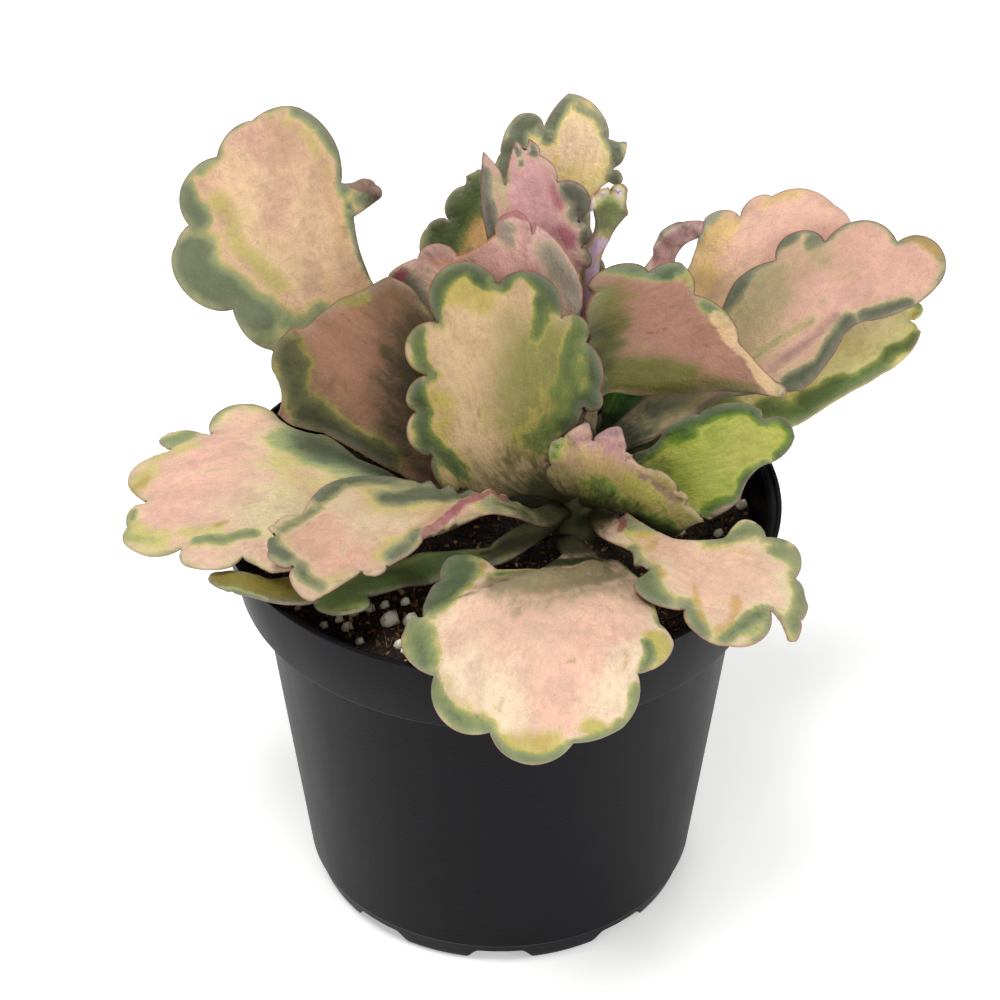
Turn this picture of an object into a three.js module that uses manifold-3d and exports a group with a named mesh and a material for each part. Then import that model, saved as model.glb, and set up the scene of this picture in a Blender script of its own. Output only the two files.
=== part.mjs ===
// A potted stained glass kalanchoe: scalloped, wavy leaves on two short stems in a plastic nursery pot.
// Millimetres, +Z up. The origin is the middle of the pot's base, and the front of the plant is at -Y.

import * as THREE from "three";
import { mergeVertices } from "three/addons/utils/BufferGeometryUtils.js";
import Module from "manifold-3d";

const wasm = await Module();
wasm.setup();

const { clamp, degToRad, lerp, seededRandom } = THREE.MathUtils;
const up = new THREE.Vector3(0, 0, 1);

// Gap between pieces that touch on the real plant
const gap = 0.3;

// A level just past a step in a shape, where the shape over the step is wanted
const sliver = 0.1;

// The pot: a 4-inch nursery pot, with a collar round the top and notched feet
const pot = {
  height: 86.6,
  rimRadius: 54,
  lipWidth: 1.9,
  lipStep: 0.7,
  lipRound: 0.5,
  lipDraft: 0.2,
  wall: 1.25,
  collarBottom: 70.5,
  collarBottomRadius: 50.5,
  wallTopRadius: 46.5,
  wallBottom: 5.2,
  wallBottomRadius: 38.2,
  wallStep: 0.4,
  baseRadius: 37.9,
  footRadius: 35.6,
  footEdge: 1,
  floor: 4.8,
  sectors: 64,
  notches: 9,
  notchHeight: 3.4,
  notchWidth: 13,
  notchTopWidth: 9.4,
  notchInnerRadius: 25,
  notchBelow: 1,
  holeRadius: 3.5,
  holeCircle: 29,
  holeCut: 14,
  holeSides: 16,
};

// The potting mix: its level inside the collar, its clods and its white grains of perlite
const soil = {
  level: 76.5,
  edgeDrop: 1.2,
  rings: 12,
  edgeRings: 2,
  sectors: 48,
  seed: 7,
  clods: 150,
  clodRadius: [2.5, 6],
  clodHeight: [0.5, 2.2],
  grains: 30,
  grainSize: [1.4, 3],
  grainFlatness: [0.75, 1],
  grainLift: 0.125,
  grainInset: 3,
  grainClear: 12.6,
  holeDepth: 13.2,
};

// Perlite that shows between the leaves: x, y and diameter
const shownPerlite = [
  [-20.5, -26.3, 3.8], [-16.7, -25.4, 3.2], [-28.5, -28.7, 2.4], [-24.5, -21.4, 2.2],
  [-21.7, -20.2, 2], [-17.8, -20.5, 2], [-30.1, -26.3, 1.8], [-33, -27.5, 1.8],
  [-27.5, -23.6, 2], [-18.6, -33.8, 2.4], [-26.1, -33, 1.8], [47.3, 11.5, 2.4],
  [47.4, 4, 2.2], [42.3, 1.1, 2], [35, 2.1, 2], [-25.7, 26.4, 2.2],
];

// The stems: each runs from its foot in the soil to its top, and thins above `taperFrom`
const stemRadius = 4.2;
const stemTopRadius = 2.8;
const taperFrom = 76;
const taperTo = 116;
const stemSides = 12;
const stems = [
  { name: "stem_front", foot: [14, 0, 64], top: [15, 3.5, 103] },
  { name: "stem_back", foot: [13, 23, 64], top: [13, 26, 108] },
];

// The leaf blades: thick at the stalk, thinner in the blade, with a rounded margin
const stalkThickness = 2.6;
const bladeThickness = 1.3;
const marginThickness = 0.9;
const marginWidth = 4;
const stalkLength = 10;
const stalkShare = 0.35;
const scallopStep = 6;
const longestEdge = 9;
const foldLength = 1.5;
const foldSteps = 10;
const curveDivisions = 400;
const straightness = 1e-3;
const closestPoints = 0.35;
const normalStep = 0.2;

// Each leaf is a flat scalloped outline laid over a bent midrib, all in millimetres and degrees.
// `spine` is the midrib's course from the stem to the tip, and `across` points out of it to the
// right, at even steps from base to tip. `riseLeft` and `riseRight` lift each half, at even steps
// too. `left` and `right` are the margins, as [along the midrib, out from it]: a notch, the crest
// of a scallop, the next notch and so on, with a round arc over each crest, up to the tip.
const leaves = [
  // The large leaf that hangs over the rim in front
  {
    name: "leaf_front",
    colour: "#ecc9b4",
    spine: [
      [12.25, -3.75, 79], [15, -14, 82], [12, -34, 90], [9, -52, 91], [7, -63, 85], [6, -69, 78],
    ],
    across: [[-1, 0, 0]],
    riseLeft: [5, 0, -8, -8, -12],
    riseRight: [10, 25, 5, -5, -10],
    left: [
      [0, -2.2], [4, -2.8], [12.5, -4.5], [11.5, -6], [12, -8], [25, -13.5], [38.5, -18.5],
      [48.5, -21], [52.5, -16.5], [61, -17], [69, -7], [72, -4],
    ],
    right: [
      [0, 2.2], [5, 2.8], [22, 6.5], [28, 10.5], [28.5, 13.5], [27, 19.5], [35, 23], [41, 24.5],
      [47.5, 24], [47.5, 25.5], [50, 27], [56, 26], [59.5, 20], [67, 17.5], [68.5, 8.5], [72, 5.5],
    ],
    length: 73.5,
  },
  // Beside it on the right, flat, with deep lobes
  {
    name: "leaf_front_right",
    colour: "#e6bfae",
    spine: [
      [18.75, -1.5, 83.5], [23, -16, 89], [28, -22, 91], [37, -30, 93], [48, -35, 93],
      [56, -38, 91.5],
    ],
    across: [[-0.55, -0.8, -0.1]],
    riseLeft: [10, 60, 20, 0, 0, 0],
    riseRight: [0, 5, 6, -6, -10],
    left: [
      [0, -2], [4, -2.4], [7, -3], [8.5, -2.5], [11.5, -4.5], [17.5, -4.5], [23, -4.5], [30.5, -5],
      [36.5, -9.5], [40, -14.5], [45.5, -12], [52, -11], [54, -4.5], [56, -2.5],
    ],
    right: [
      [0, 2], [4, 2.6], [18.5, 1.5], [21.5, 2.5], [24.5, 5], [27, 5.5], [29, 5.5], [34, 13],
      [38.5, 11], [45, 17], [52.5, 5.3], [55.3, 7.6], [57.6, 9.9], [58.6, 10], [59, 9], [59, 6.8],
      [58.2, 4.8], [58.6, 2.5],
    ],
    length: 57.5,
  },
  // Low on the left, half covered, reaching over the rim
  {
    name: "leaf_left_low",
    colour: "#5f7044",
    spine: [
      [10, -0.75, 81.5], [-4, -13, 82], [-19, -22, 86], [-37, -29, 88], [-45, -29, 89],
      [-53.5, -27, 89.5],
    ],
    across: [[-0.25, 1, 0]],
    riseLeft: [0, 0, -5, 0, 0],
    riseRight: [0, 0, 0, 0, 0],
    left: [
      [0, -2], [5, -3], [14, -3.5], [23, -3.5], [32, -4], [38.5, -5.5], [45, -5.5], [52, -11],
      [55, -5.5], [61.5, -6], [68, -4], [71, -4.5],
    ],
    right: [[0, 2.2], [5, 3], [14.5, 2], [25.5, 3.5], [37, 3], [49, 3.5], [62.5, 1.5], [69, 1]],
    length: 73,
  },
  // The widest leaf, over the rim on the left
  {
    name: "leaf_left_wide",
    colour: "#e3c0a8",
    spine: [[9.75, 2.75, 84], [-12, 1, 86], [-32, 0, 89], [-51, -4, 91], [-70.5, -12, 88.5]],
    across: [[-0.05, 1, 0]],
    riseLeft: [0, 5, 8, 4, 0],
    riseRight: [0, 10, 5, 0, 0],
    left: [
      [0, -2.2], [6, -3], [16, -7.5], [29.5, -18.5], [47, -30], [54.5, -30], [61, -28.5], [65, -26],
      [66.5, -21.5], [73.5, -23], [76.5, -12.5], [83, -10.5],
    ],
    right: [
      [0, 2.2], [6, 3], [25, 2.5], [32, 5.5], [37, 9], [40, 12.5], [43, 16], [46.5, 17],
      [49.5, 21.5], [55, 26.5], [61, 19.5], [64.5, 22.5], [67.5, 24.5], [69, 22], [68, 18],
      [76.5, 16], [77, 6], [80.5, 4.5],
    ],
    length: 83,
  },
  // In front on the left, above the widest leaf
  {
    name: "leaf_left_front",
    colour: "#d9c9a0",
    spine: [
      [11.5, -2, 85], [7, -10, 89], [0, -13, 94], [-13, -18, 97], [-28, -25, 98], [-42.5, -31, 97.5],
    ],
    across: [[-0.35, 1, 0.15]],
    riseLeft: [10, 10, 0, -5, -5],
    riseRight: [0, 0, 0, 0, 0],
    left: [
      [0, -2.2], [5, -2.4], [24.5, -3], [31.5, -5.5], [38, -7], [41.5, -9.5], [47, -10.5],
      [50.5, -12], [51.5, -10], [56, -12.5], [63, -14], [65, -10], [63, -5], [65.5, -4.5],
    ],
    right: [
      [0, 2.2], [5, 2.4], [24.5, 3.5], [33, 7.5], [42.5, 13], [51, 11.5], [57, 7], [60.5, 7],
      [63, 6], [64, 5.5], [63.5, 3.5], [65, 2.5],
    ],
    length: 66,
  },
  // The pale leaf in the middle
  {
    name: "leaf_centre",
    colour: "#d8c6a2",
    spine: [[13, -2.75, 89], [9, -4, 92], [4, -3, 99], [2, 1, 114], [-0.5, 9, 129.5]],
    across: [[1, 0, 0]],
    riseLeft: [0, 8, 8, 8, 8],
    riseRight: [0, 8, 8, 8, 8],
    left: [
      [0, -2], [4, -2.4], [7.5, -5], [9.5, -8.5], [12.5, -13], [14.5, -17], [17, -16.5], [20, -20.5],
      [25, -18.5], [29.5, -20], [32.5, -15.5], [40.5, -18], [42, -12], [50.5, -11.5],
    ],
    right: [
      [0, 2], [5, 2.6], [9, 4], [10.5, 5.5], [16, 7.5], [19.5, 11.5], [23, 13], [24, 17], [26, 16.5],
      [30, 17.5], [34.5, 15], [39.5, 14.5], [39.5, 11], [48.5, 8],
    ],
    length: 47.5,
  },
  // Left, above the widest leaf, folded up at its back edge
  {
    name: "leaf_left_mid",
    colour: "#b98e80",
    spine: [[10.25, 3.25, 92], [0, 3, 91], [-15, 5, 99], [-29, 10, 111], [-39, 14, 116.5]],
    across: [[0.35, 0.3, 0.85]],
    riseLeft: [0, 5, 5, 0, 0],
    riseRight: [0, 10, 10, 20, 20],
    left: [
      [0, -2.2], [6, -3], [14.5, -5.5], [20, -9], [26, -9.5], [33, -11], [40.5, -13.5], [46, -16],
      [53, -16.5], [54, -13.5], [58, -10], [60, -4.5],
    ],
    right: [
      [0, 2.2], [6, 3], [12.5, 6], [32, 16], [45, 20.5], [48.5, 21.5], [50, 20], [52, 14.5],
      [54, 10], [55.5, 6.5], [56.5, 3.5], [57, 1.5],
    ],
    length: 59,
  },
  // The tall leaf at the upper left
  {
    name: "leaf_left_tall",
    colour: "#d9b596",
    spine: [
      [11.75, 6.5, 97], [-3, 10, 97], [-19, 16, 105], [-33, 25, 121], [-41, 32, 136], [-47, 36, 149],
    ],
    across: [[0.8, 0.35, 0.5]],
    riseLeft: [0, 0, 0, 0, 0],
    riseRight: [0, 0, 0, 5, 5],
    left: [
      [0, -2.2], [6, -3], [22, -5], [36, -9.5], [44, -13.5], [48, -15.5], [51.5, -17], [56.5, -19.5],
      [60.5, -19], [68, -26], [75, -23.5], [77, -21.5], [77.5, -19.5], [85, -17.5], [87, -9],
      [90.5, -5],
    ],
    right: [
      [0, 2.2], [6, 3], [18.5, 5.5], [34, 8], [46.5, 7], [49.5, 6.5], [52, 6.5], [59, 8],
      [65.3, 9.8], [65.8, 12.4], [66.3, 15], [67.8, 16.8], [69.6, 16.2], [71.3, 15.3], [71.8, 13.8],
      [71.9, 11.8], [72.5, 10.3], [81, 12.5], [89, 9], [91, 5],
    ],
    length: 90.5,
  },
  // Short and lime yellow, under the large leaf on the right
  {
    name: "leaf_right_lime",
    colour: "#c3c063",
    spine: [[19.25, 1.25, 88], [27, 0, 90], [38, 0, 95], [48, 2, 98], [56.5, 4, 98]],
    across: [[0.2, -0.6, -0.85]],
    riseLeft: [0, 5, 5, 0, 0],
    riseRight: [0, 5, 10, 0, 0],
    left: [
      [0, -2], [4, -2.6], [4.5, -2], [6, -4.5], [10, -6], [12.5, -6], [15.5, -7.5], [19, -9],
      [23.5, -8.5], [29.5, -8.5], [33.5, -6], [33.5, -5], [34, -4], [38.5, -3],
    ],
    right: [
      [0, 2], [4, 2.4], [9, 3], [14.5, 8], [18, 11], [22, 10.5], [25, 9.5], [28.5, 6], [34, 4.5],
      [37.5, 2.5],
    ],
    length: 39.5,
  },
  // A small spiky leaf between the middle and the right
  {
    name: "leaf_right_small",
    colour: "#a9a45a",
    spine: [[17, -2.5, 87.5], [19, -8, 92], [21, -10, 102], [22.5, -10, 110.5]],
    across: [[1, -0.25, 0]],
    riseLeft: [0, 0, 5, 5, 5],
    riseRight: [10, 15, 15, 10, 5],
    left: [
      [0, -1.8], [3, -2.2], [6, -4], [6, -8], [13.5, -11], [16.5, -12], [19.5, -12], [20.5, -11],
      [21, -10], [24, -8.5], [25.5, -6], [24, -5], [22, -4.5], [25, -3],
    ],
    right: [
      [0, 1.8], [4, 2], [6.5, 6], [1.5, 14], [3, 16.5], [11.5, 17.5], [14, 20], [15, 19], [16, 15.5],
      [17, 16], [18, 13.5], [20, 12], [20, 8], [20.5, 5], [21, 3.5], [22, 3], [22, 2], [24.5, 1.5],
    ],
    length: 26.5,
  },
  // Right of the middle, with its far margin rolled down
  {
    name: "leaf_right_curled",
    colour: "#c99a92",
    spine: [
      [19, -0.5, 96], [17, -2, 106], [21, 7, 109], [34, 11, 107], [45, 11, 106], [54, 9, 103.5],
    ],
    across: [[0.5, -0.3, -0.2], [0, -0.4, -0.9], [0, -0.4, -0.9]],
    riseLeft: [0, 0, 0, 0, 0, 0],
    riseRight: [0, 0, -60, -60, -60, -30],
    left: [
      [0, -1.4], [12, -1.4], [20, -1], [18.5, -3], [20.5, -9], [21, -14.5], [22, -17], [23.5, -21.5],
      [28, -20], [34, -22], [37.5, -16], [42, -14], [45.5, -7.5], [48.5, -5], [53.5, -2.5],
      [56, -1.5],
    ],
    right: [[0, 1.4], [10, 1.4], [17, 1.5], [24, 4], [34, 5], [42, 3]],
    length: 56,
  },
  // A young leaf that stands up behind it
  {
    name: "leaf_right_ear",
    colour: "#9b6f70",
    spine: [[17, 23.25, 105], [25, 23, 110], [30, 27, 119], [34, 28, 126], [39, 28, 131.5]],
    across: [[0.6, -0.5, -0.6]],
    riseLeft: [0, 0, 0, 0, 0],
    riseRight: [0, 0, 0, 0, 0],
    left: [
      [0, -2], [5, -2.2], [14.5, -3], [19.5, -3], [24.5, -3], [29, -4], [32.5, -2.5], [34.5, -1.5],
    ],
    right: [
      [0, 2], [5, 2.2], [14.5, 1.5], [19.5, 2.5], [25.5, 1.5], [28, 1], [32, 1.5], [34.5, 1.5],
    ],
    length: 36,
  },
  // The long leaf at the right
  {
    name: "leaf_right_large",
    colour: "#d7a896",
    spine: [
      [18.75, 4.5, 94], [29, 12, 96], [40, 16, 100], [52, 20, 104], [68, 24, 113], [84.5, 27, 117.5],
    ],
    across: [[0.3, -0.75, -0.75]],
    riseLeft: [0, 0, 5, 5, 0, 0],
    riseRight: [0, 5, 15, 15, 5, 0],
    left: [
      [0, -2.2], [6, -3], [13, -4.5], [25, -9], [35.5, -14], [43.5, -17.5], [50, -16.5], [55.5, -19],
      [58, -15], [65.5, -16], [69.5, -10.5], [77.5, -4.5],
    ],
    right: [
      [0, 2.2], [6, 3], [10.5, 3.5], [15, 3.5], [21, 3], [25.5, 2.5], [30, 3], [36, 5.5], [41, 8],
      [47, 7], [53.5, 3], [57, 2.5], [59, 2.5], [67, 3],
    ],
    length: 74.5,
  },
  // Behind the long leaf
  {
    name: "leaf_right_back",
    colour: "#cf9f90",
    spine: [[17.5, 26, 98], [35, 26, 105], [43, 33, 112], [52, 38, 122], [65, 42, 126]],
    across: [[0.6, -0.4, -0.7]],
    riseLeft: [0, 0, 0, 0, 0],
    riseRight: [0, 0, 0, 0, 0],
    left: [
      [0, -2], [5, -2.6], [21.5, -6], [29.5, -7.5], [36, -9], [39.5, -10.5], [41, -11], [43.5, -9.5],
      [44.5, -6], [47.5, -7.5], [50, -6], [56, -5],
    ],
    right: [[0, 2], [5, 2.6], [24.5, 2.5], [30.5, 8], [40, 10.5], [56, 10.5], [60.5, 7.5], [62, 4]],
    length: 60.5,
  },
  // Low on the right, seen past the others
  {
    name: "leaf_right_low",
    colour: "#c9b46a",
    spine: [[18.5, 5, 84], [31, 12, 92], [45, 19, 94], [60, 26, 97], [74, 31, 100], [82.5, 34, 102]],
    across: [[0.35, -0.9, -0.45]],
    riseLeft: [0, 0, 0, 0, 0, 0],
    riseRight: [0, 0, 5, 5, 5, 5],
    left: [
      [0, -2], [5, -2.6], [19.5, -1], [32.5, -5.5], [46.5, -8.5], [59.5, -12.5], [70, -11.5],
      [74.5, -9.5], [75.5, -6.5], [75.5, -3.5], [72.5, -3], [73, -1.5],
    ],
    right: [
      [0, 2], [5, 2.6], [17, 6], [26, 7], [34, 8], [39, 9], [42.5, 9], [53, 7.5], [63, 5.5], [69, 4],
    ],
    length: 73.5,
  },
  // The highest leaf
  {
    name: "leaf_back_top",
    colour: "#ddd09a",
    spine: [[13.25, 30.75, 105], [14, 33, 110], [13, 37, 126], [13, 40, 140], [13, 43, 150.5]],
    across: [[1, 0, 0]],
    riseLeft: [0, 5, 10, 10, 10, 10],
    riseRight: [0, 5, 10, 10, 10, 10],
    left: [
      [0, -2], [3, -2.6], [6, -3], [12, -5], [25.5, -10.5], [29.5, -14], [36, -13], [39.5, -12.6],
      [42, -11], [44, -7.5], [41, -4.5], [45, -2.5],
    ],
    right: [
      [0, 2], [3, 2.6], [6, 3.5], [11.5, 4], [23, 4.5], [27.5, 5.5], [30, 8], [32.3, 10.4],
      [32.8, 8.8], [35.2, 10.9], [38, 11.2], [38.3, 9.5], [38.6, 7.8], [43, 7],
    ],
    length: 47.5,
  },
  // The upright leaf behind the middle
  {
    name: "leaf_centre_top",
    colour: "#cf9a92",
    spine: [[10.5, 21, 102], [12, 20, 112], [10, 22, 123], [7, 25, 136], [5, 26, 144], [3, 27, 150]],
    across: [[1, 0.1, 0]],
    riseLeft: [0, 10, 40, 40, 20, 0],
    riseRight: [0, 5, 5, 5, 5, 5],
    left: [
      [0, -2.2], [5, -2.4], [8, -5.5], [23, -11], [33.5, -11.5], [42, -10], [50, -6.5], [46.5, -5],
      [42, -4.5], [46, -3],
    ],
    right: [
      [0, 2.2], [5, 2.4], [8, 3], [15.5, 4.5], [21, 5.5], [24, 8], [25.8, 6.5], [28.8, 9.2], [31, 7],
      [36.5, 10.2], [39.7, 5], [43.2, 5.2], [45.6, 3.3], [47.6, 3.6], [49.3, 2.4], [48.4, 1.7],
      [47.7, 0.9], [48.8, 0.7],
    ],
    length: 50,
  },
  // The dark leaf behind it on the left
  {
    name: "leaf_left_back",
    colour: "#4d6145",
    spine: [[8.25, 26.5, 104], [-1, 27, 114], [-4, 32, 125], [-6.5, 35, 137]],
    across: [[0.9, 0.2, 0.25]],
    riseLeft: [0, 0, 0, 0, 0],
    riseRight: [0, 0, 0, 0, 0],
    left: [
      [0, -2], [5, -2.6], [9, -4], [17.5, -6.5], [23, -10.5], [28, -11.5], [30.5, -9.5], [32, -7.5],
      [31, -5], [35.5, -4.5], [37, -1], [37.5, -0.5],
    ],
    right: [[0, 2], [5, 2.6], [5.5, 5], [20.5, 8.5], [30.5, 6], [36, 4.5], [39.5, 3], [39.5, 1.5]],
    length: 39,
  },
  // The dusky leaf behind the middle
  {
    name: "leaf_centre_back",
    colour: "#b98d84",
    spine: [[14.75, 8.5, 99], [11, 8, 106], [9, 12, 116], [6, 15, 129], [3.5, 18, 140]],
    across: [[1, -0.1, 0.1]],
    riseLeft: [0, 0, 0, 0, 0],
    riseRight: [0, 0, 5, 0, 0],
    left: [
      [0, -2], [5, -2.6], [13, -6.5], [19, -17], [26.5, -25], [30, -28], [36.5, -27], [38, -24.5],
      [38.5, -21], [41, -17], [37.5, -13.5], [39, -8.5], [40.5, -5.5], [44, -3.5],
    ],
    right: [
      [0, 2], [5, 2.4], [9.5, 2.5], [13.5, 4.5], [18.5, 5.5], [22.5, 7.5], [27, 8.5], [35.5, 7],
      [41.5, 2.5], [40, 2], [39.5, 1.5], [42.5, 1.5],
    ],
    length: 44.5,
  },
  // A young leaf with a cupped tip
  {
    name: "leaf_back_cup",
    colour: "#d9a69c",
    spine: [[17.75, 27.75, 104.5], [18, 28, 113], [19, 29, 123], [20, 30, 129], [21, 29, 137]],
    across: [[0.9, 0, 0.3]],
    riseLeft: [0, 0, 0, 30, 40],
    riseRight: [0, 0, 0, 30, 40],
    left: [
      [0, -1.6], [5, -1.8], [10.5, -3], [14, -3], [20.5, -2.5], [24, -2], [29, -3], [32, -4.5],
      [33, -3], [34.5, -2],
    ],
    right: [
      [0, 1.6], [5, 1.8], [9, 2], [17, 0.5], [22, 1.5], [25.5, 2.5], [28.5, 4], [32, 3.5], [34.5, 3],
      [35.5, 1.5],
    ],
    length: 33,
  },
  // A young leaf behind it
  {
    name: "leaf_back_small",
    colour: "#6f8452",
    spine: [[14.25, 30.25, 98], [18, 37, 107], [19, 42, 114.5]],
    across: [[1, 0, 0]],
    riseLeft: [0, 0, 0, 0],
    riseRight: [0, 0, 0, 0],
    left: [[0, -1.6], [5, -1.8], [7.5, -1], [12.5, -2], [16.5, -1.5], [20, -1]],
    right: [[0, 1.6], [5, 1.8], [8, 1], [12.5, 1], [16.5, 1.5], [19.5, 1.5]],
    length: 21,
  },
  // A short leaf under the curled one
  {
    name: "leaf_right_inner",
    colour: "#5c7548",
    spine: [[17.5, 21.25, 84], [22, 22, 87], [25, 24, 91], [29.5, 27, 97]],
    across: [[0.7, -0.3, -0.5]],
    riseLeft: [0, 0, 0, 0],
    riseRight: [0, 0, 0, 0],
    left: [[0, -2], [4, -2.2], [5, -2.5], [11, -5.5], [15.5, -6], [19, -3.5]],
    right: [[0, 2], [4, 2.2], [5.5, 3], [10, 3.5], [14, 4.5], [18, 3]],
    length: 19,
  },
  // Low leaves out of sight, at the back, right and left
  {
    name: "leaf_hidden_back",
    colour: "#7b8a5a",
    spine: [[12.25, 29.5, 87], [10, 36, 90], [4, 46, 92], [-2, 56, 92.5]],
    across: [[1, 0.3, 0]],
    riseLeft: [0, 0, 0, 0],
    riseRight: [0, 0, 0, 0],
    left: [[0, -2], [3, -2.6], [6, -4], [22, -9], [27, -8], [30.5, -5]],
    right: [[0, 2], [3, 2.6], [6, 4], [11.5, 10], [20.5, 13.5], [26.5, 10]],
    length: 31,
  },
  {
    name: "leaf_hidden_right",
    colour: "#7b8a5a",
    spine: [[17.75, 26, 84], [28, 33, 87], [38, 46, 93], [43, 54, 97.5]],
    across: [[0.5, -0.8, 0]],
    riseLeft: [0, 0, 0, 0],
    riseRight: [0, 0, 0, 0],
    left: [
      [0, -2], [5, -2.6], [8.5, -4.5], [19.5, -10.5], [27, -9.5], [32, -9], [36, -6], [37.5, -0.5],
    ],
    right: [[0, 2], [5, 2.6], [9, 7.5], [16, 12.5], [22, 15.5], [27, 15.5], [31.5, 14], [34, 9.5]],
    length: 41,
  },
  {
    name: "leaf_hidden_left",
    colour: "#7b8a5a",
    spine: [[8, 23, 83], [1, 24, 87], [-13, 34, 90], [-28, 42, 92]],
    across: [[0.3, 1, 0]],
    riseLeft: [0, 0, 0, 0],
    riseRight: [0, 0, 0, 0],
    left: [
      [0, -2], [5, -2.6], [6, -9.5], [10.5, -16.5], [21, -17.5], [31.5, -18], [38, -14.5],
      [42, -9.5],
    ],
    right: [[0, 2], [6, 2.8], [12, 4], [23.5, 2.5], [36.5, 3.5], [41, 3], [43, 2.5], [44, 0.5]],
    length: 43,
  },
];

// A closed geometry as a solid that can be cut and joined
function solidOf(geometry) {
  const bare = geometry.index ? geometry.toNonIndexed() : geometry.clone();
  bare.deleteAttribute("normal");
  bare.deleteAttribute("uv");
  const merged = mergeVertices(bare);
  const index = merged.index.array;
  const triangles = [];
  for (let i = 0; i < index.length; i += 3) {
    const [a, b, c] = index.slice(i, i + 3);
    if (a !== b && b !== c && c !== a) triangles.push(a, b, c);
  }
  return new wasm.Manifold(new wasm.Mesh({
    numProp: 3,
    vertProperties: Float32Array.from(merged.attributes.position.array),
    triVerts: Uint32Array.from(triangles),
  }));
}

function geometryOf(solid) {
  const { vertProperties, triVerts } = solid.getMesh();
  return closedGeometry(vertProperties, triVerts);
}

function closedGeometry(positions, triangles) {
  const geometry = new THREE.BufferGeometry();
  geometry.setAttribute("position", new THREE.Float32BufferAttribute(positions, 3));
  geometry.setIndex(Array.from(triangles));
  geometry.computeVertexNormals();
  return geometry;
}

// A profile of [radius, height] points, from the axis round to the axis, turned about Z
function turned(profile, sectors) {
  const points = profile.map(([radius, height]) => new THREE.Vector2(radius, height));
  return new THREE.LatheGeometry(points, sectors).rotateX(Math.PI / 2);
}

function meshOf(name, geometry, look) {
  const mesh = new THREE.Mesh(geometry, new THREE.MeshStandardMaterial(look));
  mesh.name = name;
  return mesh;
}

// Inner radius of the pot's wall or collar at a height
function innerRadius(z) {
  if (z > pot.collarBottom + pot.wall) {
    const t = (z - pot.collarBottom) / (pot.height - pot.collarBottom);
    return lerp(pot.collarBottomRadius - pot.wall, pot.rimRadius - pot.lipWidth - pot.wall / 2, t);
  }
  const t = (z - pot.wallBottom) / (pot.collarBottom - pot.wallBottom);
  return lerp(pot.wallBottomRadius - pot.wall, pot.wallTopRadius - pot.wall, t);
}

function potGeometry() {
  const lip = pot.rimRadius - pot.lipWidth;
  const ledge = pot.collarBottom + pot.wall;
  const underLip = pot.height - 2 * pot.lipStep;
  const profile = [
    [0, 0],
    [pot.footRadius, 0],
    [pot.footRadius + pot.footEdge, pot.footEdge],
    [pot.baseRadius, pot.wallBottom],
    [pot.wallBottomRadius, pot.wallBottom + pot.wallStep],
    [pot.wallTopRadius, pot.collarBottom],
    [pot.collarBottomRadius, pot.collarBottom],
    [pot.rimRadius, pot.height - pot.lipRound],
    [pot.rimRadius - pot.lipRound, pot.height],
    [lip + pot.lipWidth / 2, pot.height],
    [lip + pot.lipWidth / 2 - pot.lipDraft, pot.height - pot.lipStep],
    [lip, pot.height - pot.lipStep],
    [innerRadius(underLip), underLip],
    [innerRadius(ledge + sliver), ledge],
    [innerRadius(ledge), ledge],
    [innerRadius(pot.floor), pot.floor],
    [0, pot.floor],
  ];
  let solid = solidOf(turned(profile, pot.sectors));
  const side = (width, z) => [[-width / 2, z], [width / 2, z]];
  const [lowLeft, lowRight] = side(pot.notchWidth + 2 * pot.notchBelow, -pot.notchBelow);
  const [highLeft, highRight] = side(pot.notchTopWidth, pot.notchHeight);
  const outline = [lowLeft, lowRight, highRight, highLeft].map((p) => new THREE.Vector2(...p));
  const depth = pot.rimRadius - pot.notchInnerRadius;
  for (let i = 0; i < pot.notches; i += 1) {
    const angle = (i * 2 * Math.PI) / pot.notches;
    const notch = new THREE.ExtrudeGeometry(new THREE.Shape(outline), { depth, bevelEnabled: false });
    notch.rotateX(Math.PI / 2).translate(0, -pot.notchInnerRadius, 0).rotateZ(angle);
    const hole = new THREE.CylinderGeometry(pot.holeRadius, pot.holeRadius, pot.holeCut, pot.holeSides);
    hole.rotateX(Math.PI / 2).translate(0, -pot.holeCircle, 0).rotateZ(angle);
    solid = solid.subtract(solidOf(notch)).subtract(solidOf(hole));
  }
  return geometryOf(solid);
}

const stemRadiusAt = (z) => {
  return lerp(stemRadius, stemTopRadius, clamp((z - taperFrom) / (taperTo - taperFrom), 0, 1));
};

// A stem's body, or with `clearance` the plain hole that it stands in
function stemGeometry({ foot, top }, clearance = 0) {
  const from = new THREE.Vector3(...foot);
  const axis = new THREE.Vector3(...top).sub(from);
  const length = axis.length();
  const turn = new THREE.Quaternion().setFromUnitVectors(up, axis.normalize());
  const profile = [[0, -clearance]];
  for (const share of [0, (taperFrom - from.z) / (top[2] - from.z), 1]) {
    const z = lerp(from.z, top[2], share);
    profile.push([stemRadiusAt(z) + clearance, share === 0 ? -clearance : share * length]);
  }
  profile.push([0, length]);
  return turned(profile, stemSides).applyQuaternion(turn).translate(...foot);
}

// One seeded stream of even random numbers for each use
function randomStream(seed) {
  seededRandom(seed);
  return (low, high) => lerp(low, high, seededRandom());
}

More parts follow.
